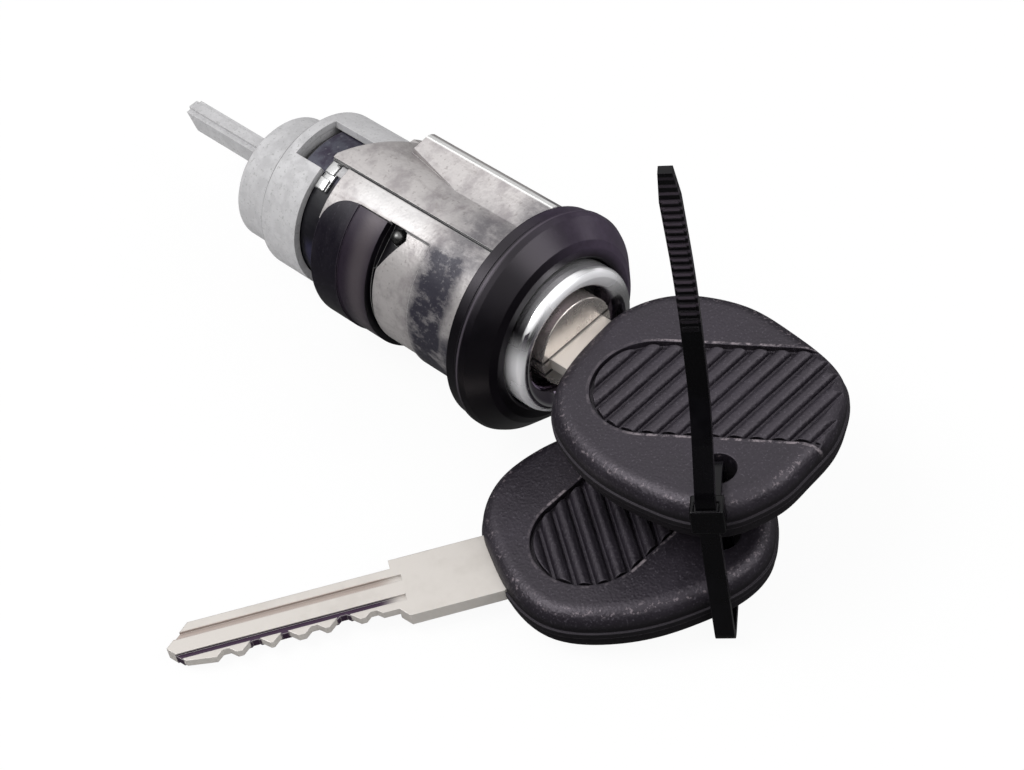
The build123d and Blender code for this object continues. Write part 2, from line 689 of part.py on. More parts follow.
def blade():
    """Flat key blade in its own frame: the head's front edge is at X = 0, the tip at -X."""
    tip = -BLADE_LENGTH
    low_neck = -NECK_HALF_WIDTH - NECK_EXTRA
    outline = [
        (TONGUE_LENGTH, -NECK_HALF_WIDTH),
        (TONGUE_LENGTH, NECK_HALF_WIDTH),
        (-NECK_LENGTH_KEY, NECK_HALF_WIDTH),
        (-NECK_LENGTH_KEY, BLADE_HALF_WIDTH),
        (tip + BLADE_TIP_LENGTH, BLADE_HALF_WIDTH),
        (tip, 0),
        (tip + 0.7 * BLADE_TIP_LENGTH, -0.8 * BLADE_HALF_WIDTH),
    ]
    for centre_y, depth in reversed(list(zip(wafer_places(), CUT_DEPTHS))):
        centre = HEAD_FRONT_Y - centre_y
        half_flat = CUT_FLAT / 2
        outline += [
            (centre - half_flat - depth, -BLADE_HALF_WIDTH),
            (centre - half_flat, -BLADE_HALF_WIDTH + depth),
            (centre + half_flat, -BLADE_HALF_WIDTH + depth),
            (centre + half_flat + depth, -BLADE_HALF_WIDTH),
        ]
    outline += [
        (-NECK_LENGTH_KEY, -BLADE_HALF_WIDTH),
        (-NECK_LENGTH_KEY + NECK_SLOPE, low_neck),
        (2 * HEAD_START, low_neck),
        (2 * HEAD_START, -NECK_HALF_WIDTH),
    ]
    plate = extrude(make_face(Polyline(*outline, close=True)), amount=BLADE_THICKNESS / 2, both=True)
    for across in (GROOVE_LOW, GROOVE_HIGH):
        for side in (-1, 1):
            floor = side * (BLADE_THICKNESS / 2 - GROOVE_DEPTH)
            top = side * BLADE_THICKNESS
            plate -= slab(
                (tip - 1, -NECK_LENGTH_KEY + NECK_SLOPE),
                (across - GROOVE_WIDTH / 2, across + GROOVE_WIDTH / 2),
                (min(floor, top), max(floor, top)),
            )
    undercut = BLADE_THICKNESS / 2 - UNDERCUT_THICKNESS
    return plate - slab(
        (tip - 1, -NECK_LENGTH_KEY),
        (low_neck - 1, GROOVE_LOW - GROOVE_WIDTH / 2),
        (-BLADE_THICKNESS, undercut),
    )


def head_outline(margin=0.0):
    """Closed face of the moulded head, seen from above, grown all round by a margin."""
    points = [
        (
            HEAD_START + along * (HEAD_LENGTH + 2 * margin) - margin,
            across * (margin + (HEAD_UPPER if across > 0 else HEAD_LOWER)),
        )
        for along, across in HEAD_OUTLINE
    ]
    return make_face(Spline(*points, periodic=True))


def grip_recess():
    """Slanted recess with a rounded end, open at the far edge, as a flat face."""
    centre = Pos(RECESS_ALONG, RECESS_ACROSS) * Rot(0, 0, RECESS_ANGLE)
    strip = centre * Pos(HEAD_LENGTH / 2, 0) * Rectangle(HEAD_LENGTH, 2 * RECESS_RADIUS)
    return strip + centre * Circle(RECESS_RADIUS)


def head():
    """Moulded head in the key's frame, with a ribbed recess on each face."""
    half = HEAD_THICKNESS / 2
    blank = extrude(head_outline(), amount=half, both=True)
    for side in (-1, 1):
        rim = blank.edges().filter_by_position(Axis.Z, side * half - RUNNING_GAP, side * half + RUNNING_GAP)
        blank = fillet(rim, HEAD_ROUNDING)
    body = blank + extrude(head_outline(HEAD_LIP), amount=HEAD_LIP_HEIGHT / 2, both=True)
    recess = grip_recess()
    ridge_area = offset(recess, -RECESS_MOAT)
    bar = Rot(90, 0, 0) * Cylinder(RIDGE_RADIUS, 3 * HEAD_UPPER)
    ridge_count = int(HEAD_LENGTH / RIDGE_PITCH) - 1
    for side in (-1, 1):
        floor = side * (half - RECESS_DEPTH)
        far_ridge = HEAD_END - RIDGE_PHASE * RIDGE_PITCH
        ridges = Part() + [
            Pos(far_ridge - index * RIDGE_PITCH, 0, floor) * bar for index in range(ridge_count)
        ]
        ridges &= Pos(0, 0, floor) * extrude(ridge_area, amount=side * RECESS_DEPTH)
        ridges &= blank
        body -= Pos(0, 0, floor) * extrude(recess, amount=side * 2 * RECESS_DEPTH)
        body += ridges
    hole = Pos(HEAD_HOLE_ALONG, HEAD_HOLE_ACROSS) * Cylinder(HEAD_HOLE_RADIUS, 2 * HEAD_THICKNESS)
    return body - blade() - hole


def key_1_place():
    """Place of the inserted key: its length runs along -Y and its width along +X."""
    return Pos(0, HEAD_FRONT_Y, 0) * Rot(0, 0, -90)


def key_1_hole():
    """Centre of the inserted key's tie hole, as (x, y)."""
    return (HEAD_HOLE_ACROSS, HEAD_FRONT_Y - HEAD_HOLE_ALONG)


def key_2_hole():
    """Centre of the loose key's tie hole, as (x, y)."""
    x, y = key_1_hole()
    return (x + HOLE_SHIFT_X, y + HOLE_SHIFT_Y)


def key_2_place():
    """Place of the loose key, lying below with its hole under the other key's hole."""
    x, y = key_2_hole()
    return Pos(x, y, -KEY_2_DROP) * Rot(0, 0, KEY_2_HEADING) * Pos(-HEAD_HOLE_ALONG, -HEAD_HOLE_ACROSS, 0)


def tie_plane():
    """Upright plane of the tie's loop: its X axis points outward from the holes."""
    first = key_1_hole()
    second = key_2_hole()
    centre = ((first[0] + second[0]) / 2, (first[1] + second[1]) / 2, 0)
    heading = radians(TIE_HEADING)
    return Plane(
        origin=centre, x_dir=(cos(heading), sin(heading), 0), z_dir=(sin(heading), -cos(heading), 0)
    )


def cable_tie():
    """Cable tie through both key heads: a loop, a square head and a toothed tail."""
    half = TIE_THICKNESS / 2
    top = HEAD_THICKNESS / 2 + TIE_REST + half
    bottom = -KEY_2_DROP - HEAD_THICKNESS / 2 - TIE_REST - half
    loop = FilletPolyline(
        (TIE_REACH - TIE_HEAD_SHIFT, top),
        (0, top),
        (0, bottom),
        (TIE_REACH, bottom),
        (TIE_REACH, TIE_HEAD_Z),
        radius=TIE_CORNER,
    )
    bends = [(TIE_REACH - lean, height) for height, lean in TIE_TAIL_PATH]
    tail_path = FilletPolyline((TIE_REACH, TIE_HEAD_Z), *bends, radius=list(TIE_TAIL_RADII))
    plane = tie_plane()
    strap = extrude(plane * trace(loop, TIE_THICKNESS), amount=TIE_WIDTH / 2, both=True)
    strap += extrude(plane * trace(tail_path, TIE_THICKNESS), amount=TIE_WIDTH / 2, both=True)
    box = plane * Pos(TIE_REACH - TIE_HEAD_SHIFT, TIE_HEAD_Z, 0) * Box(
        TIE_HEAD_DEPTH, TIE_HEAD_HEIGHT, TIE_HEAD_WIDTH
    )
    strap += fillet(box.edges(), TIE_REST)
    for index in range(TIE_TOOTH_COUNT):
        share = 1 - (TIE_TIP_LENGTH + index * TIE_TOOTH_PITCH) / tail_path.length
        point = tail_path @ share
        along = tail_path % share
        outward = Vector(along.Y, -along.X, 0)
        centre = point + outward * (half + TIE_TOOTH_HEIGHT / 4)
        turn = Vector(1, 0, 0).get_signed_angle(along, Vector(0, 0, 1))
        tooth = Pos(centre.X, centre.Y, 0) * Rot(0, 0, turn)
        strap += plane * tooth * Box(
            TIE_TOOTH_PITCH / 2, TIE_TOOTH_HEIGHT, TIE_WIDTH - 2 * TIE_REST
        )
    end = tail_path @ 1
    turn = Vector(1, 0, 0).get_signed_angle(tail_path % 1, Vector(0, 0, 1))
    for side in (-1, 1):
        waste = Polyline(
            (1, side * TIE_TIP_WIDTH / 2),
            (-TIE_TIP_LENGTH, side * TIE_WIDTH / 2),
            (-TIE_TIP_LENGTH, side * TIE_WIDTH),
            (1, side * TIE_WIDTH),
            close=True,
        )
        wedge = extrude(Plane.XZ * make_face(waste), amount=TIE_THICKNESS, both=True)
        strap -= plane * Pos(end.X, end.Y, 0) * Rot(0, 0, turn) * wedge
    return strap


def main():
    """Write one file for each piece."""
    os.makedirs("parts", exist_ok=True)
    pieces = {
        "housing": housing(),
        "front_cap": front_cap(),
        "trim_ring": trim_ring(),
        "dust_seal": dust_seal(),
        "plug": plug(),
        "locking_sleeve": locking_sleeve(),
        "latch_ring": latch_ring(),
        "stop_clip": stop_clip(),
        "thrust_washer": thrust_washer(),
        "driver": driver(),
        "drive_pin": drive_pin(),
        "catch_pin": catch_pin(),
        "catch_spring": catch_spring(),
        "key_1_blade": key_1_place() * blade(),
        "key_1_head": key_1_place() * head(),
        "key_2_blade": key_2_place() * blade(),
        "key_2_head": key_2_place() * head(),
        "cable_tie": cable_tie(),
    }
    for index, centre_y in enumerate(wafer_places(), start=1):
        pieces[f"wafer_{index}"] = wafer(centre_y)
    pieces["wafer_springs"] = Compound(children=wafer_springs())
    for name, shape in pieces.items():
        export_step(shape, f"parts/{name}.step")


main()
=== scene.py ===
"""Dresses a key-operated ignition lock cylinder, its two keys and the cable tie that joins them.

The lock's axis is Y, with the drive tail at +Y and the keys at -Y. Lengths are in metres.
"""
import json
import logging
import math
from dataclasses import dataclass, replace
from enum import Enum
from typing import Callable, Optional, Protocol, Sequence

import bpy
from mathutils import Matrix, Vector

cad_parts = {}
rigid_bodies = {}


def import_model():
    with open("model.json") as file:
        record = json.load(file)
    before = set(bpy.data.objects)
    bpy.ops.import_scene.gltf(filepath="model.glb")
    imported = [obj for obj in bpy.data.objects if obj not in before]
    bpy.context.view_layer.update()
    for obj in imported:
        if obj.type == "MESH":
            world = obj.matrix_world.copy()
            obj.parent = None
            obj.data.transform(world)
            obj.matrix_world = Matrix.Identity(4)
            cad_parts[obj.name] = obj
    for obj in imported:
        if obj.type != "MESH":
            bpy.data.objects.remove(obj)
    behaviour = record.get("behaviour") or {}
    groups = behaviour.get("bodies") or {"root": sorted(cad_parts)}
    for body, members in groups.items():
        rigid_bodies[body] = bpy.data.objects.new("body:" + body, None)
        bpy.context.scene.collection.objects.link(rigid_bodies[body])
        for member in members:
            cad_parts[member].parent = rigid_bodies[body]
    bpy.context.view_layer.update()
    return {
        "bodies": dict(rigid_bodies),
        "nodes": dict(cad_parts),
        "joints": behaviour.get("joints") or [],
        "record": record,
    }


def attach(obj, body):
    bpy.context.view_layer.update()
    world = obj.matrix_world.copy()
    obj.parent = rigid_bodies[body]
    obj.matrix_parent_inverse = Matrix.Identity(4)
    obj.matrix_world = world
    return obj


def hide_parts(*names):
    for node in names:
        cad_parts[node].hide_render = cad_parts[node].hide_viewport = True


log = logging.getLogger("lock")

MM = 0.001
FULL_TURN = 360.0
HALF_TURN = 180.0
Colour = tuple[float, float, float]
Socket = bpy.types.NodeSocket

HOLE_ALONG, HOLE_ACROSS = 29.9 * MM, -7.4 * MM
KEY_2_HOLE = (-7.1 * MM, -38.9 * MM, -14.2 * MM)
KEY_1_HOME = (0.0, -10.4 * MM, 0.0)
KEY_1_HEADING = math.radians(-90.0)
KEY_2_HEADING = math.radians(-33.3)
RECESS_CENTRE = (13.9 * MM, -2.2 * MM, 0.0)
RECESS_TURN = math.radians(32.7)
RECESS_RADIUS = 7.9 * MM
DRUM_END = 41.3 * MM
HUB_END = 50.3 * MM
TOOTH_PITCH = 1.3 * MM
KEY_2_HOME = (
    KEY_2_HOLE[0] - HOLE_ALONG * math.cos(KEY_2_HEADING) + HOLE_ACROSS * math.sin(KEY_2_HEADING),
    KEY_2_HOLE[1] - HOLE_ALONG * math.sin(KEY_2_HEADING) - HOLE_ACROSS * math.cos(KEY_2_HEADING),
    KEY_2_HOLE[2],
)


def grey(value: float, warm: float = 0.0) -> Colour:
    """A grey, made warmer (or with a negative value cooler) by a small share."""
    return (value * (1 + warm), value, value * (1 - warm))


class Wiring:
    """A node tree being wired, with short calls for the nodes that are used most."""

    def __init__(self, tree: bpy.types.NodeTree) -> None:
        """Keeps the tree.

        Args:
            tree: the material's or the group's node tree.
        """
        self.tree = tree

    def node(self, kind: str, **values: object) -> bpy.types.Node:
        """Adds a node and sets what is given.

        Args:
            kind: the node's type name.
            values: properties of the node, by name.

        Returns:
            The new node.
        """
        made = self.tree.nodes.new(kind)
        for name, value in values.items():
            setattr(made, name, value)
        return made

    def link(self, start: Socket, end: Socket) -> None:
        """Joins two sockets."""
        self.tree.links.new(start, end)

    def feed(self, made: bpy.types.Node, **sockets: object) -> bpy.types.Node:
        """Links or sets a node's inputs by name, with underscores for spaces.

        Args:
            made: the node.
            sockets: a socket to link from, or a plain value.

        Returns:
            The same node.
        """
        for name, value in sockets.items():
            socket = made.inputs[name.replace("_", " ")]
            if isinstance(value, Socket):
                self.link(value, socket)
            else:
                socket.default_value = value
        return made

    def noise(self, vector: Socket, scale: float, detail: float = 4.0, roughness: float = 0.55) -> Socket:
        """Fractal noise, from 0 to 1."""
        made = self.node("ShaderNodeTexNoise")
        self.feed(made, Vector=vector, Scale=scale, Detail=detail, Roughness=roughness)
        return made.outputs["Fac"]

    def ramp(self, value: Socket, low: float, high: float) -> Socket:
        """Stretches a value smoothly so that low becomes 0 and high becomes 1."""
        made = self.node("ShaderNodeMapRange", interpolation_type="SMOOTHSTEP")
        self.feed(made, Value=value)
        made.inputs["From Min"].default_value = low
        made.inputs["From Max"].default_value = high
        return made.outputs["Result"]

    def blend(self, share: object, first: object, second: object) -> Socket:
        """Mixes two colours by a share."""
        made = self.node("ShaderNodeMix", data_type="RGBA")
        for socket, value in ((made.inputs[0], share), (made.inputs[6], first), (made.inputs[7], second)):
            if isinstance(value, Socket):
                self.link(value, socket)
            elif isinstance(value, (int, float)):
                socket.default_value = value
            else:
                socket.default_value = (*value, 1.0)
        return made.outputs[2]

    def calc(self, operation: str, first: object, second: object = 0.0) -> Socket:
        """One step of arithmetic, by Blender's name for it.

        Args:
            operation: what is done.
            first: a socket or a number.
            second: a socket or a number, which a step on one value leaves unused.

        Returns:
            The result's socket.
        """
        made = self.node("ShaderNodeMath", operation=operation)
        for socket, value in zip(made.inputs, (first, second)):
            if isinstance(value, Socket):
                self.link(value, socket)
            else:
                socket.default_value = value
        return made.outputs[0]

    def times(self, first: object, *others: object) -> Socket:
        """Product of two or more values."""
        for other in others:
            first = self.calc("MULTIPLY", first, other)
        return first

    def plus(self, first: object, second: object) -> Socket:
        """Sum of two values."""
        return self.calc("ADD", first, second)

    def less(self, first: object, second: object) -> Socket:
        """What is left of the first value without the second."""
        return self.calc("SUBTRACT", first, second)

    def highest(self, first: object, second: object) -> Socket:
        """The higher of two values."""
        return self.calc("MAXIMUM", first, second)

    def lowest(self, first: object, second: object) -> Socket:
        """The lower of two values."""
        return self.calc("MINIMUM", first, second)

    def split(self, vector: Socket) -> Sequence[Socket]:
        """A vector's X, Y and Z."""
        parts = self.node("ShaderNodeSeparateXYZ")
        self.link(vector, parts.inputs[0])
        return parts.outputs

    def seen_from(self, vector: Socket, home: Sequence[float], heading: float) -> Socket:
        """A place as it reads in a frame that stands at home and is turned about Z.

        Args:
            vector: the place.
            home: the frame's origin.
            heading: its turn about Z in radians.

        Returns:
            The place in that frame.
        """
        made = self.node("ShaderNodeMapping", vector_type="TEXTURE")
        self.feed(made, Vector=vector, Location=tuple(home), Rotation=(0.0, 0.0, heading))
        return made.outputs[0]

    def within(self, value: Socket, low: float, high: float, soft: float) -> Socket:
        """A mask that is 1 between two values and fades out past them."""
        rise = self.ramp(value, low - soft, low + soft)
        fall = self.ramp(value, high + soft, high - soft)
        return self.times(rise, fall)

    def round_axis(self) -> tuple[Socket, Socket, Socket]:
        """Radius from the lock's axis, place along it, and degrees round it from +X toward +Z."""
        across, along, height = self.split(self.place())
        radius = self.calc("SQRT", self.plus(self.times(across, across), self.times(height, height)))
        angle = self.times(self.calc("ARCTAN2", height, across), HALF_TURN / math.pi)
        below = self.calc("LESS_THAN", angle, 0.0)
        return radius, along, self.plus(angle, self.times(below, FULL_TURN))

    def half_turned(self, angle: Socket) -> Socket:
        """Degrees counted from the opposite side, for a mask that crosses zero."""
        return self.calc("MODULO", self.plus(angle, HALF_TURN), FULL_TURN)

    def place(self, stretch: Sequence[float] = (1, 1, 1)) -> Socket:
        """Object coordinates, stretched along the axes."""
        coordinates = self.node("ShaderNodeTexCoord")
        mapping = self.node("ShaderNodeMapping")
        self.feed(mapping, Vector=coordinates.outputs["Object"], Scale=tuple(stretch))
        return mapping.outputs[0]


class Group(Enum):
    """The shader node groups."""

    PATINA = "patina"
    GRAIN = "grain"
    EDGES = "edges"


class Groups:
    """Shader node groups that several finishes share, each made once."""

    cover_blur = 0.12
    coarse_share = 0.21

    @staticmethod
    def start(name: str, inputs: dict[str, tuple[str, object]], outputs: dict[str, str]
              ) -> tuple[bpy.types.NodeTree, Wiring, bpy.types.Node, bpy.types.Node]:
        """Makes an empty group with its sockets.

        Args:
            name: the group's name.
            inputs: socket name to its type and default.
            outputs: socket name to its type.

        Returns:
            The tree, its wiring helper, and its input and output nodes.
        """
        tree = bpy.data.node_groups.new(name, "ShaderNodeTree")
        for label, (kind, default) in inputs.items():
            socket = tree.interface.new_socket(label, in_out="INPUT", socket_type=kind)
            socket.default_value = default
        for label, kind in outputs.items():
            tree.interface.new_socket(label, in_out="OUTPUT", socket_type=kind)
        wiring = Wiring(tree)
        return tree, wiring, wiring.node("NodeGroupInput"), wiring.node("NodeGroupOutput")

    @classmethod
    def get(cls, group: Group) -> bpy.types.NodeTree:
        """The tree of a group, made on first use."""
        made = bpy.data.node_groups.get(group.value)
        return made or getattr(cls, group.value)()

    @classmethod
    def patina(cls) -> bpy.types.NodeTree:
        """Cloudy patches with small specks in them."""
        tree, wiring, given, out = cls.start(
            "patina",
            {
                "Vector": ("NodeSocketVector", (0, 0, 0)),
                "Cloud Scale": ("NodeSocketFloat", 180.0),
                "Speck Scale": ("NodeSocketFloat", 1400.0),
                "Cover": ("NodeSocketFloat", 0.5),
            },
            {"Clouds": "NodeSocketFloat", "Specks": "NodeSocketFloat"},
        )
        cloud = wiring.node("ShaderNodeTexNoise")
        wiring.feed(cloud, Vector=given.outputs["Vector"], Scale=given.outputs["Cloud Scale"], Detail=7.0,
                    Roughness=0.62)
        cover = wiring.less(1.0, given.outputs["Cover"])
        low = wiring.less(cover, cls.cover_blur)
        high = wiring.plus(cover, cls.cover_blur)
        spread = wiring.node("ShaderNodeMapRange", interpolation_type="SMOOTHSTEP")
        wiring.feed(spread, Value=cloud.outputs["Fac"], From_Min=low, From_Max=high)
        speck = wiring.node("ShaderNodeTexNoise")
        wiring.feed(speck, Vector=given.outputs["Vector"], Scale=given.outputs["Speck Scale"], Detail=2.0)
        dots = wiring.ramp(speck.outputs["Fac"], 0.60, 0.70)
        wiring.link(spread.outputs["Result"], out.inputs["Clouds"])
        wiring.link(dots, out.inputs["Specks"])
        return tree

    @classmethod
    def grain(cls) -> bpy.types.NodeTree:
        """Fine cast or moulded grain, as a height."""
        tree, wiring, given, out = cls.start(
            "grain",
            {
                "Vector": ("NodeSocketVector", (0, 0, 0)),
                "Size": ("NodeSocketFloat", 3000.0),
                "Coarse": ("NodeSocketFloat", 0.4),
            },
            {"Height": "NodeSocketFloat"},
        )
        cells = wiring.node("ShaderNodeTexVoronoi", feature="SMOOTH_F1")
        wiring.feed(cells, Vector=given.outputs["Vector"], Scale=given.outputs["Size"])
        wide = wiring.node("ShaderNodeTexNoise")
        slow = wiring.times(given.outputs["Size"], cls.coarse_share)
        wiring.feed(wide, Vector=given.outputs["Vector"], Scale=slow, Detail=5.0)
        bumps = wiring.less(1.0, cells.outputs["Distance"])
        part = wiring.times(wide.outputs["Fac"], given.outputs["Coarse"])
        height = wiring.plus(bumps, part)
        wiring.link(height, out.inputs["Height"])
        return tree

    @classmethod
    def edges(cls) -> bpy.types.NodeTree:
        """Softly rounded edges as a normal, and a mask of where the edges are."""
        tree, wiring, given, out = cls.start(
            "edges", {"Radius": ("NodeSocketFloat", 0.0002)},
            {"Normal": "NodeSocketVector", "Mask": "NodeSocketFloat"},
        )
        rounded = wiring.node("ShaderNodeBevel", samples=6)
        wiring.feed(rounded, Radius=given.outputs["Radius"])
        flat = wiring.node("ShaderNodeNewGeometry")
        same = wiring.node("ShaderNodeVectorMath", operation="DOT_PRODUCT")
        wiring.link(rounded.outputs[0], same.inputs[0])
        wiring.link(flat.outputs["Normal"], same.inputs[1])
        wiring.link(wiring.ramp(same.outputs["Value"], 0.995, 0.90), out.inputs["Mask"])
        wiring.link(rounded.outputs[0], out.inputs["Normal"])
        return tree


@dataclass(frozen=True)
class Finish:
    """A surface: its base values, its edges and its grain."""

    name: str
    colour: Colour
    second: Colour
    # edge: colour along edges, partly wear and partly a painted highlight.
    edge: Colour
    metallic: float = 0.0
    roughness: float = 0.5
    roughness_spread: float = 0.15
    stretch: tuple[float, float, float] = (1.0, 1.0, 1.0)
    cloud_scale: float = 180.0
    cover: float = 0.45
    speck_colour: Optional[Colour] = None
    speck_scale: float = 1400.0
    grain_size: float = 3000.0
    grain_depth: float = 0.1
    edge_radius: float = 0.15 * MM
    edge_share: float = 0.5
    specular: float = 0.5
    specular_tint: Colour = (1.0, 1.0, 1.0)
    home: tuple[float, float, float] = (0.0, 0.0, 0.0)
    heading: float = 0.0
    extra: Optional[Callable[["Paint"], None]] = None

    def build(self) -> bpy.types.Material:
        """Makes the material.

        Returns:
            The material, ready to be given to a piece.
        """
        material = bpy.data.materials.new(self.name)
        material.use_nodes = True
        paint = Paint(self, material)
        paint.wire()
        return material


class Paint:
    """Wires one finish into its material."""

    def __init__(self, finish: Finish, material: bpy.types.Material) -> None:
        """Keeps the finish and finds the shader.

        Args:
            finish: the values to use.
            material: the material that is being made.
        """
        self.finish = finish
        self.wiring = Wiring(material.node_tree)
        self.shader = material.node_tree.nodes["Principled BSDF"]
        self.place = self.wiring.place(finish.stretch)
        self.colour: Socket
        self.roughness: Socket
        self.metallic: Optional[Socket] = None

    def group(self, group: Group, **sockets: object) -> bpy.types.Node:
        """Places a shared group with its values."""
        made = self.wiring.node("ShaderNodeGroup")
        made.node_tree = Groups.get(group)
        return self.wiring.feed(made, **sockets)

    def mark(self, share: Socket, colour: Colour, strength: Optional[float] = None) -> None:
        """Paints a colour over what is there, where a mask says so.

        Args:
            share: the mask.
            colour: the colour.
            strength: how far it covers, where that is less than the mask.
        """
        if strength is not None:
            share = self.wiring.times(share, strength)
        self.colour = self.wiring.blend(share, self.colour, colour)

    def wire(self) -> None:
        """Builds colour, roughness and normal, then any extra step of the finish."""
        finish, wiring = self.finish, self.wiring
        patina = self.group(Group.PATINA, Vector=self.place, Cloud_Scale=finish.cloud_scale,
                            Speck_Scale=finish.speck_scale, Cover=finish.cover)
        grain = self.group(Group.GRAIN, Vector=wiring.place(), Size=finish.grain_size)
        edges = self.group(Group.EDGES, Radius=finish.edge_radius)
        self.colour = wiring.blend(patina.outputs["Clouds"], finish.colour, finish.second)
        if finish.speck_colour is not None:
            self.colour = wiring.blend(patina.outputs["Specks"], self.colour, finish.speck_colour)
        share = wiring.times(edges.outputs["Mask"], finish.edge_share)
        spread = wiring.times(patina.outputs["Clouds"], finish.roughness_spread)
        self.roughness = wiring.plus(spread, finish.roughness)
        self.shader.inputs["Metallic"].default_value = finish.metallic
        self.shader.inputs["Specular IOR Level"].default_value = finish.specular
        self.shader.inputs["Specular Tint"].default_value = (*finish.specular_tint, 1.0)
        if finish.extra is not None:
            finish.extra(self)
        # Lighter colour along the edges: partly wear and partly a painted highlight.
        self.colour = wiring.blend(share, self.colour, finish.edge)
        bump = wiring.node("ShaderNodeBump")
        wiring.feed(bump, Height=grain.outputs["Height"], Strength=finish.grain_depth, Distance=0.05 * MM,
                    Normal=edges.outputs["Normal"])
        wiring.link(self.colour, self.shader.inputs["Base Color"])
        wiring.link(self.roughness, self.shader.inputs["Roughness"])
        if self.metallic is not None:
            wiring.link(self.metallic, self.shader.inputs["Metallic"])
        wiring.link(bump.outputs[0], self.shader.inputs["Normal"])


@dataclass(frozen=True)
class Patch:
    """Place of a mark on a round piece: millimetres along the axis and degrees round it."""

    start: float
    end: float
    fade: float
    first: float
    last: float
    blur: float
    weight: float = 1.0

    def mask(self, wiring: Wiring, along: Socket, angle: Socket) -> Socket:
        """The patch as a mask that fades out past its borders.

        Args:
            wiring: the material's wiring.
            along: place along the axis, in metres.
            angle: degrees round the axis.

        Returns:
            The mask, as high as the patch's weight.
        """
        lengthwise = wiring.within(along, self.start * MM, self.end * MM, self.fade * MM)
        return wiring.times(lengthwise, wiring.within(angle, self.first, self.last, self.blur), self.weight)


@dataclass(frozen=True)
class Spots:
    """Noise that is cut to spots with soft edges."""

    scale: float
    detail: float
    rough: float
    low: float
    high: float
    stretch: tuple[float, float, float] = (1.0, 1.0, 1.0)

    def mask(self, wiring: Wiring) -> Socket:
        """The spots as a mask."""
        noise = wiring.noise(wiring.place(self.stretch), self.scale, self.detail, self.rough)
        return wiring.ramp(noise, self.low, self.high)


# Black of painted shade in gaps, recesses and on faces turned from the light.
SHADE_BLACK = (0.004, 0.003, 0.006)
DARK_MOTTLE = (0.030, 0.028, 0.041)
GRIME = (0.20, 0.175, 0.175)
HIGHLIGHT_WHITE = (0.82, 0.82, 0.82)
CREST_HIGHLIGHT = (0.95, 0.95, 0.94)
DARK_PATCHES = (
    Patch(3.5, 10.5, 1.8, 114.0, 260.0, 7.0, 1.15),
    Patch(-3.0, 3.2, 2.6, 50.0, 119.0, 8.0, 0.72),
    Patch(-3.0, 5.0, 1.6, 158.0, 260.0, 14.0, 0.90),
    Patch(0.5, 9.5, 3.4, 78.0, 124.0, 10.0, 0.70),
    Patch(8.0, 16.0, 3.0, 76.0, 99.0, 6.0, 0.25),
)
HIGHLIGHT_STRIP = Patch(13.0, 26.0, 3.0, 103.2, 116.4, 0.8, 0.40)
LEDGE_SHADOW = Patch(10.6, 15.6, 0.3, 116.9, 118.2, 0.3, 0.9)
LIGHT_SPOTS = Spots(520.0, 8.0, 0.68, 0.42, 0.70, (1.0, 0.55, 1.0))
STAINS = Spots(700.0, 6.0, 0.7, 0.50, 0.74, (1.0, 0.25, 1.0))
FLECKS = Spots(2300.0, 3.0, 0.55, 0.60, 0.68)


def barrel_stains_and_painted_light(paint: Paint) -> None:
    """Marks of the old casting: random stains, dark mottled zones that on the lower side are a painted dark
    reflection, painted highlights on a strip and on the rib's crest, and painted shade in its recesses.
    """
    wiring = paint.wiring
    radius, along, angle = wiring.round_axis()
    warp = wiring.less(wiring.noise(wiring.place(), 330.0, 7.0, 0.62), 0.5)
    wavy_along = wiring.plus(along, wiring.times(warp, 2.6 * MM))
    wavy_angle = wiring.plus(angle, wiring.times(warp, 16.0))
    # Dark mottled zones; on the lower side they are a painted dark reflection, and light spots and light
    # flecks break them up.
    dark: object = 0.0
    for patch in DARK_PATCHES:
        dark = wiring.highest(dark, patch.mask(wiring, wavy_along, wavy_angle))
    light_spots = wiring.times(LIGHT_SPOTS.mask(wiring), 0.55)
    mottle = wiring.lowest(wiring.times(dark, wiring.less(1.05, light_spots)), 1.0)
    paint.mark(STAINS.mask(wiring), GRIME, 0.40)
    paint.mark(mottle, DARK_MOTTLE)
    paint.mark(wiring.times(FLECKS.mask(wiring), dark), (0.45, 0.43, 0.43), 0.16)
    # Painted highlight on a strip of the barrel's top.
    paint.mark(HIGHLIGHT_STRIP.mask(wiring, wavy_along, angle), HIGHLIGHT_WHITE)
    # Painted highlight along the rib's crest.
    across, _along, height = wiring.split(wiring.place())
    crest = wiring.times(wiring.within(across, 6.9 * MM, 7.8 * MM, 0.15 * MM),
                         wiring.ramp(height, 13.3 * MM, 13.7 * MM))
    paint.mark(crest, CREST_HIGHLIGHT, 0.85)
    # Painted shade in the gap by the sleeve, in the seam and under the ledge.
    gap = wiring.times(wiring.ramp(radius, 12.6 * MM, 12.5 * MM),
                       wiring.within(along, 14.0 * MM, 30.0 * MM, 0.05 * MM))
    seam = wiring.times(wiring.ramp(radius, 12.97 * MM, 12.9 * MM), wiring.within(angle, 100.8, 103.2, 0.1))
    hollow = wiring.highest(gap, wiring.highest(seam, LEDGE_SHADOW.mask(wiring, along, angle)))
    paint.mark(hollow, SHADE_BLACK)
    shaded = wiring.highest(hollow, wiring.times(mottle, 0.5))
    paint.metallic = wiring.times(wiring.less(1.0, shaded), paint.finish.metallic)


SHEEN_BREAKS = Spots(900.0, 6.0, 0.7, 0.35, 0.75)
CAP_LINE = Patch(-2.45, -2.15, 0.06, 60.0, 190.0, 25.0, 0.25)


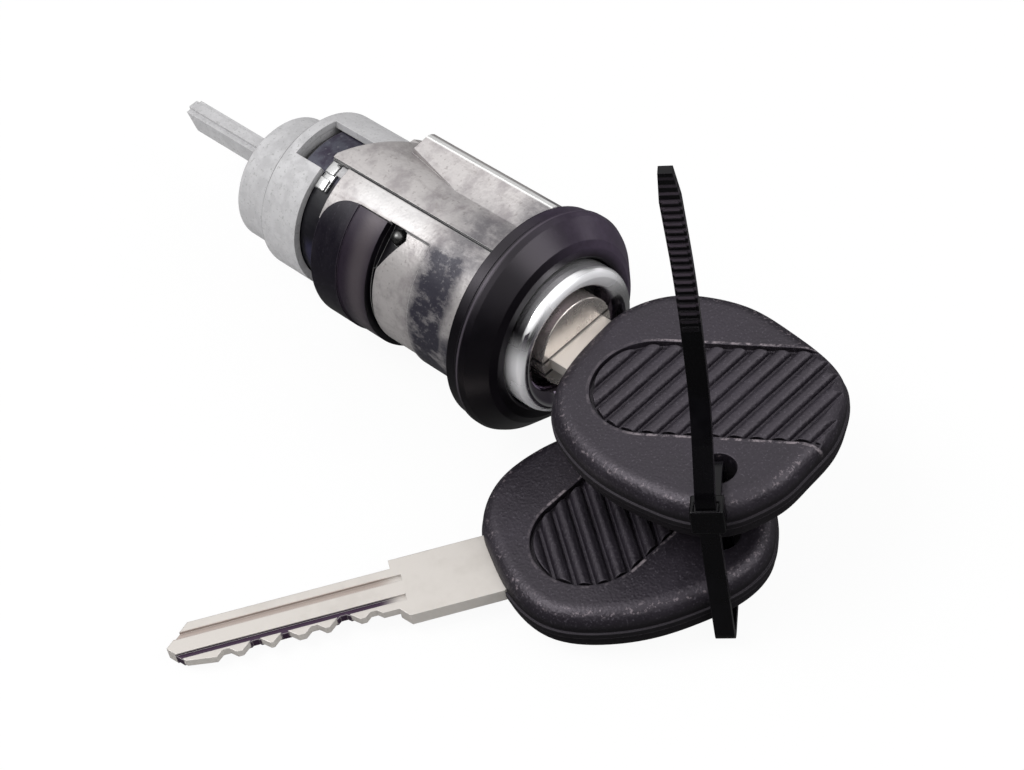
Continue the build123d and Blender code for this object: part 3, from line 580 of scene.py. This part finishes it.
def cap_sheen(paint: Paint) -> None:
    """Painted sheen on the upper right of the moulded cap, where light falls, purple-grey, and the line
    behind its rim.
    """
    wiring = paint.wiring
    radius, along, angle = wiring.round_axis()
    # Painted sheen where light falls on the upper right of the cap, broken up by noise.
    upper_right = wiring.within(wiring.half_turned(angle), 158.0, 252.0, 34.0)
    face = wiring.ramp(radius, 10.9 * MM, 12.6 * MM)
    sheen_breaks = wiring.plus(0.72, wiring.times(SHEEN_BREAKS.mask(wiring), 0.28))
    paint.mark(wiring.times(upper_right, face, sheen_breaks), (0.056, 0.041, 0.068))
    paint.mark(CAP_LINE.mask(wiring, along, angle), (0.20, 0.17, 0.21))


def painted_ring_reflections(paint: Paint) -> None:
    """Painted light on the plated ring: a white reflection on its upper band, a dark purple reflection in a
    streak and in its throat, and a bright lower edge that is a painted highlight.
    """
    wiring = paint.wiring
    radius, _along, angle = wiring.round_axis()
    # Painted white reflection on the upper band, and a painted highlight on the lower edge.
    white = wiring.times(wiring.within(wiring.half_turned(angle), 205.0, 300.0, 22.0),
                         wiring.within(radius, 7.9 * MM, 10.4 * MM, 0.35 * MM))
    edge = wiring.times(wiring.within(angle, 150.0, 250.0, 14.0),
                        wiring.ramp(radius, 9.75 * MM, 10.0 * MM), 0.8)
    bright = wiring.highest(white, edge)
    # Painted dark purple reflection in a streak and in the throat.
    streak = wiring.times(wiring.within(angle, 128.0, 235.0, 14.0),
                          wiring.within(radius, 7.2 * MM, 9.2 * MM, 0.3 * MM))
    throat = wiring.ramp(radius, 8.2 * MM, 7.8 * MM)
    paint.mark(wiring.highest(streak, throat), (0.085, 0.050, 0.105), 0.85)
    paint.mark(bright, (0.88, 0.875, 0.90))
    paint.metallic = wiring.less(1.0, wiring.times(bright, 0.80))
    paint.roughness = wiring.plus(paint.roughness, wiring.times(bright, 0.25))


FACE_STAINS = Spots(800.0, 6.0, 0.7, 0.52, 0.72)


def keyway_line(paint: Paint) -> None:
    """Painted shade in the gap between the plug and the blade, and faint stains on the face."""
    wiring = paint.wiring
    _across, _along, height = wiring.split(wiring.place())
    # Painted shade in the gap beside the blade.
    gap = wiring.within(wiring.calc("ABSOLUTE", height), 0.80 * MM, 1.25 * MM, 0.10 * MM)
    paint.mark(gap, (0.015, 0.010, 0.014), 0.92)
    paint.mark(FACE_STAINS.mask(wiring), (0.30, 0.22, 0.20), 0.12)


def painted_rim_shade(paint: Paint) -> None:
    """Painted shade: a dark line behind the drum's rear rim, and a faint one on the hub's far rim."""
    wiring = paint.wiring
    _radius, along, _angle = wiring.round_axis()
    line = wiring.within(along, DRUM_END - 0.40 * MM, DRUM_END + 0.12 * MM, 0.05 * MM)
    paint.mark(line, (0.11, 0.105, 0.11), 0.85)
    rim = wiring.within(along, HUB_END - 0.16 * MM, HUB_END - 0.02 * MM, 0.05 * MM)
    paint.mark(rim, (0.16, 0.155, 0.16), 0.45)


HIGHLIGHT_BREAKS = Spots(900.0, 5.0, 0.72, 0.44, 0.60)
RIM_GLINTS = Spots(1500.0, 5.0, 0.7, 0.56, 0.62)


def head_shade_and_highlights(paint: Paint) -> None:
    """Painted light on the key head: painted shade that makes its flank much darker than its faces and
    darkens the recess's edge, a broken painted highlight round the recess, and painted glints along its top
    rim.
    """
    wiring, finish = paint.wiring, paint.finish
    own = wiring.seen_from(wiring.place(), finish.home, finish.heading)
    lengthwise, side, _height = wiring.split(wiring.seen_from(own, RECESS_CENTRE, RECESS_TURN))
    back = wiring.lowest(lengthwise, 0.0)
    reach = wiring.calc("SQRT", wiring.plus(wiring.times(back, back), wiring.times(side, side)))
    # Broken painted highlight round the recess's edge.
    edge_highlight = wiring.within(reach, RECESS_RADIUS + 0.05 * MM, RECESS_RADIUS + 0.42 * MM, 0.07 * MM)
    straight = wiring.plus(0.3, wiring.ramp(lengthwise, -3.0 * MM, 1.0 * MM))
    paint.mark(wiring.times(edge_highlight, HIGHLIGHT_BREAKS.mask(wiring), straight), (0.30, 0.26, 0.28), 0.55)
    # Painted shade just inside the recess's edge.
    recess_shade = wiring.within(reach, RECESS_RADIUS - 0.55 * MM, RECESS_RADIUS - 0.08 * MM, 0.06 * MM)
    paint.mark(recess_shade, (0.002, 0.0015, 0.003), 0.7)
    level = finish.home[2]
    _across, _along, height = wiring.split(wiring.place())
    # Painted shade on the flank, below the top face.
    flank = wiring.ramp(height, level + 2.2 * MM, level + 0.9 * MM)
    paint.mark(flank, (0.0012, 0.001, 0.0018))
    paint.roughness = wiring.plus(paint.roughness, wiring.times(flank, 0.25))
    # Painted glints along the top rim, outside the recess.
    rim = wiring.times(wiring.within(height, level + 2.75 * MM, level + 3.4 * MM, 0.12 * MM),
                       wiring.ramp(reach, RECESS_RADIUS + 0.6 * MM, RECESS_RADIUS + 0.9 * MM))
    paint.mark(wiring.times(RIM_GLINTS.mask(wiring), rim), (0.26, 0.22, 0.24), 0.50)


def slot_shade(paint: Paint) -> None:
    """Painted shade: black inside the drum's slot, with a dark blue lower end, and mottled steel in the
    window.
    """
    wiring = paint.wiring
    _radius, along, angle = wiring.round_axis()
    black = wiring.ramp(angle, 113.0, 116.0)
    paint.mark(black, (0.004, 0.0035, 0.007))
    lower = wiring.times(wiring.ramp(angle, 158.0, 172.0), wiring.ramp(along, 33.6 * MM, 32.6 * MM))
    paint.mark(lower, (0.020, 0.018, 0.046))
    paint.metallic = wiring.times(wiring.less(1.0, black), paint.finish.metallic)


def blade_lines(paint: Paint) -> None:
    """Fine cutter marks, with a dark lower groove and a brownish upper one."""
    wiring, finish = paint.wiring, paint.finish
    lines = wiring.noise(wiring.place(), 5200.0, 2.0)
    paint.roughness = wiring.plus(paint.roughness, wiring.times(lines, 0.10))
    along, across, height = wiring.split(wiring.seen_from(wiring.place(), finish.home, finish.heading))
    sunk = wiring.ramp(height, 0.80 * MM, 0.74 * MM)
    reach = wiring.ramp(along, -11.2 * MM, -14.5 * MM)
    low = wiring.within(across, -2.35 * MM, -1.15 * MM, 0.05 * MM)
    high = wiring.within(across, 1.0 * MM, 2.2 * MM, 0.10 * MM)
    paint.mark(wiring.times(low, reach, sunk), (0.040, 0.018, 0.045))
    paint.mark(wiring.times(high, reach), (0.40, 0.325, 0.29), 0.85)


def ladder(paint: Paint) -> None:
    """Grey-brown bands of the toothed stretch, on the upper part of the tie's tail."""
    wiring = paint.wiring
    _across, _along, height = wiring.split(wiring.place())
    toothed = wiring.within(height, 33.0 * MM, 55.0 * MM, 4.0 * MM)
    waves = wiring.calc("SINE", wiring.times(height, 2.0 * math.pi / TOOTH_PITCH))
    paint.mark(wiring.times(wiring.ramp(waves, -0.2, 0.9), toothed), (0.060, 0.046, 0.062), 0.8)


def bright_zone(paint: Paint) -> None:
    """Front zone of the sleeve, lighter than the rear, with a painted highlight band and its front face in
    painted shade.
    """
    wiring = paint.wiring
    _radius, along, _angle = wiring.round_axis()
    paint.mark(wiring.ramp(along, 23.75 * MM, 23.45 * MM), (0.024, 0.016, 0.028))
    # Painted highlight band across the front zone.
    paint.mark(wiring.within(along, 18.6 * MM, 21.5 * MM, 1.2 * MM), (0.15, 0.13, 0.137), 0.45)
    # Painted shade on the front face.
    paint.mark(wiring.ramp(along, 18.25 * MM, 18.18 * MM), SHADE_BLACK)


PLASTIC_TINT = (0.98, 0.90, 1.0)
ZINC = Finish(
    "weathered zinc with painted light", (0.49, 0.465, 0.46), (0.33, 0.305, 0.31), grey(0.80, 0.01), metallic=0.45, roughness=0.36,
    cloud_scale=300.0, cover=0.45, speck_colour=(0.36, 0.335, 0.33), speck_scale=1900.0, grain_size=2600.0,
    grain_depth=0.35, extra=barrel_stains_and_painted_light,
)
PALE_CAST = Finish(
    "pale cast zinc", (0.54, 0.535, 0.545), (0.47, 0.465, 0.475), grey(0.66), metallic=0.15, roughness=0.55,
    cloud_scale=520.0, cover=0.5, grain_size=3600.0, grain_depth=0.42, edge_share=0.55,
    speck_colour=grey(0.38), speck_scale=2600.0, extra=painted_rim_shade,
)
CAP_BLACK = Finish(
    "satin black", (0.0020, 0.0016, 0.0026), (0.0035, 0.0028, 0.0045), (0.040, 0.034, 0.046),
    roughness=0.30, roughness_spread=0.06, cloud_scale=90.0, grain_size=6000.0, grain_depth=0.05,
    edge_share=0.35, specular=0.40, specular_tint=PLASTIC_TINT, extra=cap_sheen,
)
CHROME = Finish(
    "bright plating", (0.90, 0.895, 0.905), (0.86, 0.85, 0.87), grey(0.97), metallic=1.0, roughness=0.07,
    roughness_spread=0.04, cloud_scale=60.0, grain_size=5000.0, grain_depth=0.01, edge_share=0.1,
    extra=painted_ring_reflections,
)
RUBBER = Finish(
    "black rubber", (0.02, 0.02, 0.02), (0.03, 0.03, 0.03), (0.05, 0.05, 0.05), roughness=0.75,
)
PLUG_NICKEL = Finish(
    "warm nickel", (0.86, 0.80, 0.75), (0.74, 0.68, 0.64), (0.95, 0.92, 0.87), metallic=0.8,
    roughness=0.22, cloud_scale=240.0, grain_size=5200.0, grain_depth=0.05, extra=keyway_line,
)
SLEEVE = Finish(
    "dark sleeve", (0.008, 0.006, 0.012), (0.014, 0.011, 0.018), (0.12, 0.10, 0.13), metallic=0.3,
    roughness=0.30, stretch=(1.0, 2.4, 1.0), cloud_scale=150.0, cover=0.40,
    speck_colour=(0.026, 0.022, 0.032), speck_scale=2100.0, grain_size=3400.0, grain_depth=0.12,
    extra=bright_zone,
)
LATCH = Finish(
    "mottled steel", (0.066, 0.067, 0.090), (0.026, 0.020, 0.038), (0.30, 0.29, 0.31), metallic=0.5,
    roughness=0.36, cloud_scale=420.0, cover=0.5, speck_colour=(0.11, 0.11, 0.13), speck_scale=1200.0,
    grain_depth=0.15, extra=slot_shade,
)
SPRING_STEEL = Finish(
    "bright spring steel", grey(0.60), grey(0.42), grey(0.90), metallic=0.95, roughness=0.20,
)
PLAIN_STEEL = Finish(
    "plain steel", grey(0.12, 0.01), grey(0.08), grey(0.45), metallic=0.9, roughness=0.25,
)
BRASS = Finish(
    "stamped brass", (0.66, 0.50, 0.24), (0.54, 0.39, 0.17), (0.84, 0.70, 0.42), metallic=0.95,
    roughness=0.30,
)
BLADE = Finish(
    "nickel blade", (0.62, 0.585, 0.55), (0.56, 0.525, 0.49), (0.86, 0.84, 0.81), metallic=0.35,
    roughness=0.28, roughness_spread=0.10, cloud_scale=120.0, grain_size=5200.0, grain_depth=0.06,
    extra=blade_lines,
)
KEY_1_BLADE = replace(BLADE, name="inserted blade", home=KEY_1_HOME, heading=KEY_1_HEADING)
KEY_2_BLADE = replace(BLADE, name="loose blade", home=KEY_2_HOME, heading=KEY_2_HEADING)
HEAD_PLASTIC = Finish(
    "grained charcoal", (0.010, 0.008, 0.012), (0.016, 0.013, 0.019), (0.075, 0.066, 0.082), roughness=0.44,
    roughness_spread=0.08, cloud_scale=110.0, speck_colour=(0.045, 0.040, 0.050), speck_scale=3400.0,
    grain_size=2700.0, grain_depth=0.9, edge_share=0.40, edge_radius=0.25 * MM, specular=0.55,
    specular_tint=PLASTIC_TINT, home=KEY_1_HOME, heading=KEY_1_HEADING, extra=head_shade_and_highlights,
)
HEAD_PLASTIC_2 = replace(
    HEAD_PLASTIC, name="charcoal of the loose key", home=KEY_2_HOME, heading=KEY_2_HEADING,
)
TIE_NYLON = Finish(
    "glossy nylon", (0.0010, 0.0008, 0.0014), (0.002, 0.0016, 0.003), (0.022, 0.018, 0.024), roughness=0.26,
    cloud_scale=90.0, grain_size=5200.0, grain_depth=0.05, specular=0.22, extra=ladder,
)


class Shelf:
    """Materials that are already made, by the name of their finish."""

    def __init__(self) -> None:
        """Starts empty."""
        self.made: dict[str, bpy.types.Material] = {}

    def get(self, finish: Finish) -> bpy.types.Material:
        """The finish's material, made on first use."""
        if finish.name not in self.made:
            self.made[finish.name] = finish.build()
        return self.made[finish.name]


class Body(Enum):
    """Rigid bodies that modelled pieces ride on."""

    LOCK = "lock_body"
    KEY_1 = "key_1"


class Slot(Enum):
    """The part's material slots of the modelled pieces."""

    HOUSING = "housing_zinc"
    CLIP = "clip_steel"
    TIE = "tie_nylon"


class Bench:
    """Steps of modelling by hand that several pieces share."""

    @staticmethod
    def primitive(kind: str, name: str, **values: object) -> bpy.types.Object:
        """Adds a primitive with nothing else selected.

        Args:
            kind: the primitive's name, as in the add menu.
            name: what the new piece is called.
            values: its sizes and place.

        Returns:
            The new piece, with its place in its mesh.
        """
        bpy.ops.object.select_all(action="DESELECT")
        getattr(bpy.ops.mesh, f"primitive_{kind}_add")(**values)
        piece = bpy.context.active_object
        piece.name = name
        bpy.ops.object.transform_apply(location=True, rotation=True, scale=True)
        return piece

    @staticmethod
    def modified(piece: bpy.types.Object, kind: str, **values: object) -> None:
        """Adds one modifier to a piece and applies it."""
        bpy.ops.object.select_all(action="DESELECT")
        piece.select_set(True)
        bpy.context.view_layer.objects.active = piece
        added = piece.modifiers.new(kind.lower(), kind)
        for name, value in values.items():
            setattr(added, name, value)
        bpy.ops.object.modifier_apply(modifier=added.name)

    @classmethod
    def band(cls, name: str, radius: float, start: float, end: float, first: float, last: float,
             rows: int = 2) -> bpy.types.Object:
        """Thin open band round the lock's axis, cut from a tube between two angles.

        Args:
            name: the piece's name.
            radius: distance from the axis.
            start: lower place along the axis.
            end: upper place along the axis.
            first: first angle in degrees.
            last: last angle in degrees, less than half a turn further.
            rows: cuts made across the band.

        Returns:
            The band, one face thick.
        """
        piece = cls.primitive(
            "cylinder", name, vertices=240, radius=radius, depth=end - start, end_fill_type="NOTHING",
            location=(0.0, (start + end) / 2, 0.0), rotation=(math.pi / 2, 0.0, 0.0),
        )
        bpy.ops.object.mode_set(mode="EDIT")
        for degrees, side in ((first, "clear_inner"), (last, "clear_outer")):
            bpy.ops.mesh.select_all(action="SELECT")
            turn = math.radians(degrees)
            normal = (-math.sin(turn), 0.0, math.cos(turn))
            bpy.ops.mesh.bisect(plane_co=(0.0, 0.0, 0.0), plane_no=normal, **{side: True})
        for row in range(1, rows):
            bpy.ops.mesh.select_all(action="SELECT")
            level = start + (end - start) * row / rows
            bpy.ops.mesh.bisect(plane_co=(0.0, level, 0.0), plane_no=(0.0, 1.0, 0.0))
        bpy.ops.mesh.select_all(action="SELECT")
        bpy.ops.mesh.normals_make_consistent(inside=False)
        bpy.ops.object.mode_set(mode="OBJECT")
        return piece

    @staticmethod
    def finish(piece: bpy.types.Object, body: str, slot: str, material: bpy.types.Material,
               angle: float = 35.0) -> None:
        """Smooths a piece, gives it its material and hangs it on its body.

        Args:
            piece: the piece.
            body: the rigid body that it moves with.
            slot: the part's material slot that it belongs to; not used.
            material: its material.
            angle: edges sharper than this, in degrees, stay sharp.
        """
        bpy.ops.object.select_all(action="DESELECT")
        piece.select_set(True)
        bpy.context.view_layer.objects.active = piece
        bpy.ops.object.shade_smooth_by_angle(angle=math.radians(angle))
        piece.data.materials.clear()
        piece.data.materials.append(material)
        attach(piece, body)
        log.info("%s rides on %s", piece.name, body)


class Modelled(Protocol):
    """A piece that is modelled by hand."""

    def build(self, material: bpy.types.Material) -> None:
        """Models the piece in its material."""


@dataclass
class CastFoot:
    """Rough crust on the foot of the rib, by the cap."""

    radius: float = 13.62 * MM
    start: float = 0.06 * MM
    end: float = 1.5 * MM
    first: float = 49.0
    last: float = 100.0
    thickness: float = 0.42 * MM
    roughness: float = 0.30 * MM
    lump: float = 0.9 * MM
    inward: float = -0.2
    rows: int = 5
    smooth_angle: float = 60.0

    def build(self, material: bpy.types.Material) -> None:
        """Models the crust as a band that is thickened and roughened."""
        crust = Bench.band("foot_crust", self.radius, self.start, self.end, self.first, self.last,
                           self.rows)
        Bench.modified(crust, "SOLIDIFY", thickness=self.thickness, offset=self.inward)
        Bench.modified(crust, "SUBSURF", levels=1, subdivision_type="CATMULL_CLARK")
        lumps = bpy.data.textures.new("crust lumps", "CLOUDS")
        lumps.noise_scale = self.lump
        lumps.noise_depth = 3
        Bench.modified(crust, "DISPLACE", texture=lumps, strength=self.roughness, mid_level=0.5)
        Bench.finish(crust, Body.LOCK.value, Slot.HOUSING.value, material, self.smooth_angle)


@dataclass
class StopClip:
    """Bright two-lugged clip that shows in the drum's slot."""

    radius: float = 10.72 * MM
    thickness: float = 0.45 * MM
    lug_height: float = 0.40 * MM
    start: float = 31.7 * MM
    end: float = 33.7 * MM
    lugs: tuple[tuple[float, float], ...] = ((101.0, 110.2), (113.8, 123.3))
    lug_margin: float = 0.15 * MM
    edge: float = 0.10 * MM

    def build(self, material: bpy.types.Material) -> None:
        """Models the leaf and its two lugs, which stand for the CAD clip."""
        first, last = self.lugs[0][0], self.lugs[-1][1]
        leaf = Bench.band("stop_clip_leaf", self.radius, self.start, self.end, first, last)
        Bench.modified(leaf, "SOLIDIFY", thickness=self.thickness, offset=1.0)
        pieces = [leaf]
        for number, (first, last) in enumerate(self.lugs, start=1):
            lug = Bench.band(f"stop_clip_lug_{number}", self.radius + self.thickness,
                             self.start + self.lug_margin, self.end - self.lug_margin, first, last)
            Bench.modified(lug, "SOLIDIFY", thickness=self.lug_height, offset=1.0)
            pieces.append(lug)
        for piece in pieces:
            Bench.modified(piece, "BEVEL", width=self.edge, segments=3, limit_method="ANGLE")
            Bench.finish(piece, Body.LOCK.value, Slot.CLIP.value, material)
        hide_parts("stop_clip")


@dataclass
class TieMouth:
    """Chamfered mouth of the tie's head, round the strap that leaves it."""

    holes: tuple[float, float] = (-7.25 * MM, -39.6 * MM)
    heading: float = math.radians(218.5)
    reach: float = 10.1 * MM
    height: float = 7.35 * MM
    size: tuple[float, float, float] = (1.9 * MM, 3.5 * MM, 0.5 * MM)
    rim: float = 0.28 * MM
    edge: float = 0.12 * MM
    up: float = 0.9

    def build(self, material: bpy.types.Material) -> None:
        """Models the mouth from a block whose top is inset and sunk."""
        place = (
            self.holes[0] + self.reach * math.cos(self.heading),
            self.holes[1] + self.reach * math.sin(self.heading),
            self.height,
        )
        mouth = Bench.primitive("cube", "tie_mouth", size=1.0, scale=self.size, location=place,
                                rotation=(0.0, 0.0, self.heading))
        bpy.ops.object.mode_set(mode="EDIT")
        bpy.ops.mesh.select_all(action="DESELECT")
        bpy.ops.object.mode_set(mode="OBJECT")
        for face in mouth.data.polygons:
            face.select = face.normal.z > self.up
        bpy.ops.object.mode_set(mode="EDIT")
        bpy.ops.mesh.select_mode(type="FACE")
        bpy.ops.mesh.inset(thickness=self.rim, depth=-0.5 * self.rim)
        bpy.ops.mesh.inset(thickness=0.3 * self.rim, depth=-self.rim)
        bpy.ops.object.mode_set(mode="OBJECT")
        Bench.modified(mouth, "BEVEL", width=self.edge, segments=2, limit_method="ANGLE")
        Bench.finish(mouth, Body.KEY_1.value, Slot.TIE.value, material)


@dataclass
class SubAssembly:
    """Pieces that keep the shapes of their solids, and the pieces that are modelled beside them."""

    title: str
    carried: dict[str, Finish]
    modelled: tuple[tuple[Modelled, Finish], ...] = ()

    def build(self, frame: dict, shelf: Shelf) -> None:
        """Dresses the carried pieces, then builds the modelled ones.

        Args:
            frame: the loaded frame.
            shelf: the materials made so far.
        """
        for node, finish in self.carried.items():
            piece = frame["nodes"][node]
            piece.data.materials.clear()
            piece.data.materials.append(shelf.get(finish))
            log.info("%s: %s in %s", self.title, node, finish.name)
        for piece, finish in self.modelled:
            piece.build(shelf.get(finish))


SUB_ASSEMBLIES: tuple[SubAssembly, ...] = (
    SubAssembly(
        "lock case",
        {
            "housing": ZINC,
            "front_cap": CAP_BLACK,
            "trim_ring": CHROME,
            "dust_seal": RUBBER,
            "locking_sleeve": SLEEVE,
            "latch_ring": LATCH,
            "stop_clip": SPRING_STEEL,
            "thrust_washer": PLAIN_STEEL,
            "catch_pin": PLAIN_STEEL,
            "catch_spring": SPRING_STEEL,
        },
        ((CastFoot(), ZINC), (StopClip(), SPRING_STEEL)),
    ),
    SubAssembly(
        "plug and driver",
        {
            "plug": PLUG_NICKEL,
            **{f"wafer_{number}": BRASS for number in range(1, 7)},
            "wafer_springs": SPRING_STEEL,
            "driver": PALE_CAST,
            "drive_pin": PLAIN_STEEL,
        },
    ),
    SubAssembly(
        "keys and tie",
        {
            "key_1_blade": KEY_1_BLADE,
            "key_1_head": HEAD_PLASTIC,
            "key_2_blade": KEY_2_BLADE,
            "key_2_head": HEAD_PLASTIC_2,
            "cable_tie": TIE_NYLON,
        },
        ((TieMouth(), TIE_NYLON),),
    ),
)


@dataclass(frozen=True)
class Lamp:
    """Soft square lamp that points at the part."""

    name: str
    place: tuple[float, float, float]
    size: float
    power: float

    def hang(self) -> None:
        """Adds the lamp to the scene."""
        data = bpy.data.lights.new(self.name, "AREA")
        data.size = self.size
        data.energy = self.power
        lamp = bpy.data.objects.new(self.name, data)
        bpy.context.scene.collection.objects.link(lamp)
        lamp.location = self.place
        lamp.rotation_mode = "QUATERNION"
        lamp.rotation_quaternion = (-Vector(self.place)).to_track_quat("-Z", "Y")


@dataclass(frozen=True)
class Card:
    """Card beside the part, which metal mirrors and the camera doesn't see; black where it has no glow."""

    name: str
    place: tuple[float, float, float]
    size: tuple[float, float]
    glow: float = 0.0

    def stand(self) -> None:
        """Adds the card to the scene, facing the part."""
        bpy.ops.object.select_all(action="DESELECT")
        bpy.ops.mesh.primitive_plane_add(size=1.0)
        card = bpy.context.active_object
        card.name = self.name
        card.scale = (*self.size, 1.0)
        card.rotation_mode = "QUATERNION"
        card.rotation_quaternion = (-Vector(self.place)).to_track_quat("Z", "Y")
        card.location = self.place
        card.data.materials.append(self.cloth())
        card.visible_camera = False
        card.visible_diffuse = False
        card.visible_shadow = False

    def cloth(self) -> bpy.types.Material:
        """Dull dark cloth, which glows on a bright card.

        Returns:
            The card's material.
        """
        material = bpy.data.materials.new(self.name)
        material.use_nodes = True
        wiring = Wiring(material.node_tree)
        shader = material.node_tree.nodes["Principled BSDF"]
        shader.inputs["Roughness"].default_value = 0.9
        weave = wiring.ramp(wiring.noise(wiring.place(), 30.0), 0.3, 0.7)
        dark = wiring.blend(weave, (0.016, 0.012, 0.020), (0.024, 0.018, 0.030))
        wiring.link(dark, shader.inputs["Base Color"])
        shader.inputs["Emission Color"].default_value = (1.0, 0.98, 1.0, 1.0)
        shader.inputs["Emission Strength"].default_value = self.glow
        return material


@dataclass
class Studio:
    """Floor, world, lamps and camera."""

    camera_place: tuple[float, float, float] = (-160.79 * MM, -209.23 * MM, 263.76 * MM)
    look: tuple[float, float, float] = (0.4114, 0.5545, -0.7234)
    up: tuple[float, float, float] = (0.5921, 0.4408, 0.6746)
    sensor: float = 36.0
    focal_pixels: float = 2800.0
    image_width: int = 1024
    floor_pitch: float = math.radians(5.4)
    floor_point: tuple[float, float, float] = (0.0, -2.6 * MM, -16.15 * MM)
    floor_size: float = 6.0
    floor_glow: float = 0.94
    floor_in_mirror: float = 0.10
    sky_strength: float = 1.25
    horizon_strength: float = 0.03
    diffuse_strength: float = 0.62
    horizon: float = 0.25
    full_sky: float = 0.80
    lamps: tuple[Lamp, ...] = (
        Lamp("key", (-0.35, 0.25, 0.75), 0.5, 4.0),
        Lamp("fill", (0.37, -0.62, 0.50), 0.5, 2.2),
    )
    cards: tuple[Card, ...] = (
        Card("left card", (-0.42, -0.10, 0.10), (0.34, 0.34)),
        Card("front card", (0.05, -0.55, 0.05), (0.5, 0.22)),
        Card("right card", (0.50, -0.10, -0.04), (0.30, 0.26), glow=1.25),
    )

    def camera(self) -> None:
        """Puts the camera where the photograph was taken from."""
        data = bpy.data.cameras.new("camera")
        data.sensor_width = self.sensor
        data.sensor_fit = "HORIZONTAL"
        data.lens = self.focal_pixels * self.sensor / self.image_width
        data.clip_start = 0.01
        data.clip_end = 20.0
        camera = bpy.data.objects.new("camera", data)
        bpy.context.scene.collection.objects.link(camera)
        look = Vector(self.look).normalized()
        right = look.cross(Vector(self.up)).normalized()
        up = right.cross(look)
        turn = Matrix((right, up, -look)).transposed()
        camera.matrix_world = Matrix.Translation(self.camera_place) @ turn.to_4x4()
        bpy.context.scene.camera = camera

    def floor(self) -> None:
        """Pale floor under the lock, pitched as the lock lies on it."""
        bpy.ops.object.select_all(action="DESELECT")
        bpy.ops.mesh.primitive_plane_add(size=self.floor_size, location=self.floor_point,
                                         rotation=(self.floor_pitch, 0, 0))
        floor = bpy.context.active_object
        floor.name = "floor"
        material = bpy.data.materials.new("white floor")
        material.use_nodes = True
        wiring = Wiring(material.node_tree)
        shader = material.node_tree.nodes["Principled BSDF"]
        shader.inputs["Roughness"].default_value = 0.9
        shader.inputs["Specular IOR Level"].default_value = 0.1
        tint = wiring.ramp(wiring.noise(wiring.place(), 8.0), 0.3, 0.7)
        wiring.link(wiring.blend(tint, (0.90, 0.90, 0.90), (0.92, 0.92, 0.92)), shader.inputs["Base Color"])
        glow = wiring.node("ShaderNodeEmission")
        seen = wiring.node("ShaderNodeLightPath")
        direct = wiring.highest(seen.outputs["Is Camera Ray"], seen.outputs["Is Transmission Ray"])
        share = wiring.highest(wiring.times(direct, self.floor_glow), seen.outputs["Is Glossy Ray"])
        bright = wiring.highest(direct, self.floor_in_mirror)
        wiring.link(bright, glow.inputs["Strength"])
        both = wiring.node("ShaderNodeMixShader")
        wiring.link(share, both.inputs[0])
        wiring.link(shader.outputs[0], both.inputs[1])
        wiring.link(glow.outputs[0], both.inputs[2])
        wiring.link(both.outputs[0], material.node_tree.nodes["Material Output"].inputs["Surface"])
        floor.data.materials.append(material)

    def world(self) -> None:
        """White for what the camera sees; for light and mirrors a pale sky over a dark horizon."""
        world = bpy.data.worlds.new("studio")
        bpy.context.scene.world = world
        world.use_nodes = True
        wiring = Wiring(world.node_tree)
        ground = world.node_tree.nodes["Background"]
        ground.inputs["Color"].default_value = (1.0, 1.0, 1.0, 1.0)
        seen = wiring.node("ShaderNodeLightPath")
        direct = wiring.highest(seen.outputs["Is Camera Ray"], seen.outputs["Is Transmission Ray"])
        coordinates = wiring.node("ShaderNodeTexCoord")
        _east, _north, up = wiring.split(coordinates.outputs["Generated"])
        height = wiring.ramp(up, self.horizon, self.full_sky)
        sky = wiring.node("ShaderNodeMapRange")
        wiring.feed(sky, Value=height)
        sky.inputs["To Min"].default_value = self.horizon_strength
        sky.inputs["To Max"].default_value = self.sky_strength
        soft = wiring.times(seen.outputs["Is Diffuse Ray"], self.diffuse_strength)
        mirrored = wiring.times(seen.outputs["Is Glossy Ray"], sky.outputs["Result"])
        light = wiring.highest(soft, mirrored)
        wiring.link(wiring.highest(light, direct), ground.inputs["Strength"])

    def build(self) -> None:
        """Makes the whole studio."""
        bpy.context.scene.view_settings.view_transform = "Standard"
        self.camera()
        self.floor()
        self.world()
        for lamp in self.lamps:
            lamp.hang()
        for card in self.cards:
            card.stand()


def main() -> None:
    """Loads the part, dresses every piece and sets up the studio."""
    logging.basicConfig(level=logging.INFO, format="%(message)s")
    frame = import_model()
    shelf = Shelf()
    for part in SUB_ASSEMBLIES:
        part.build(frame, shelf)
    Studio().build()


if __name__ == "__main__":
    main()
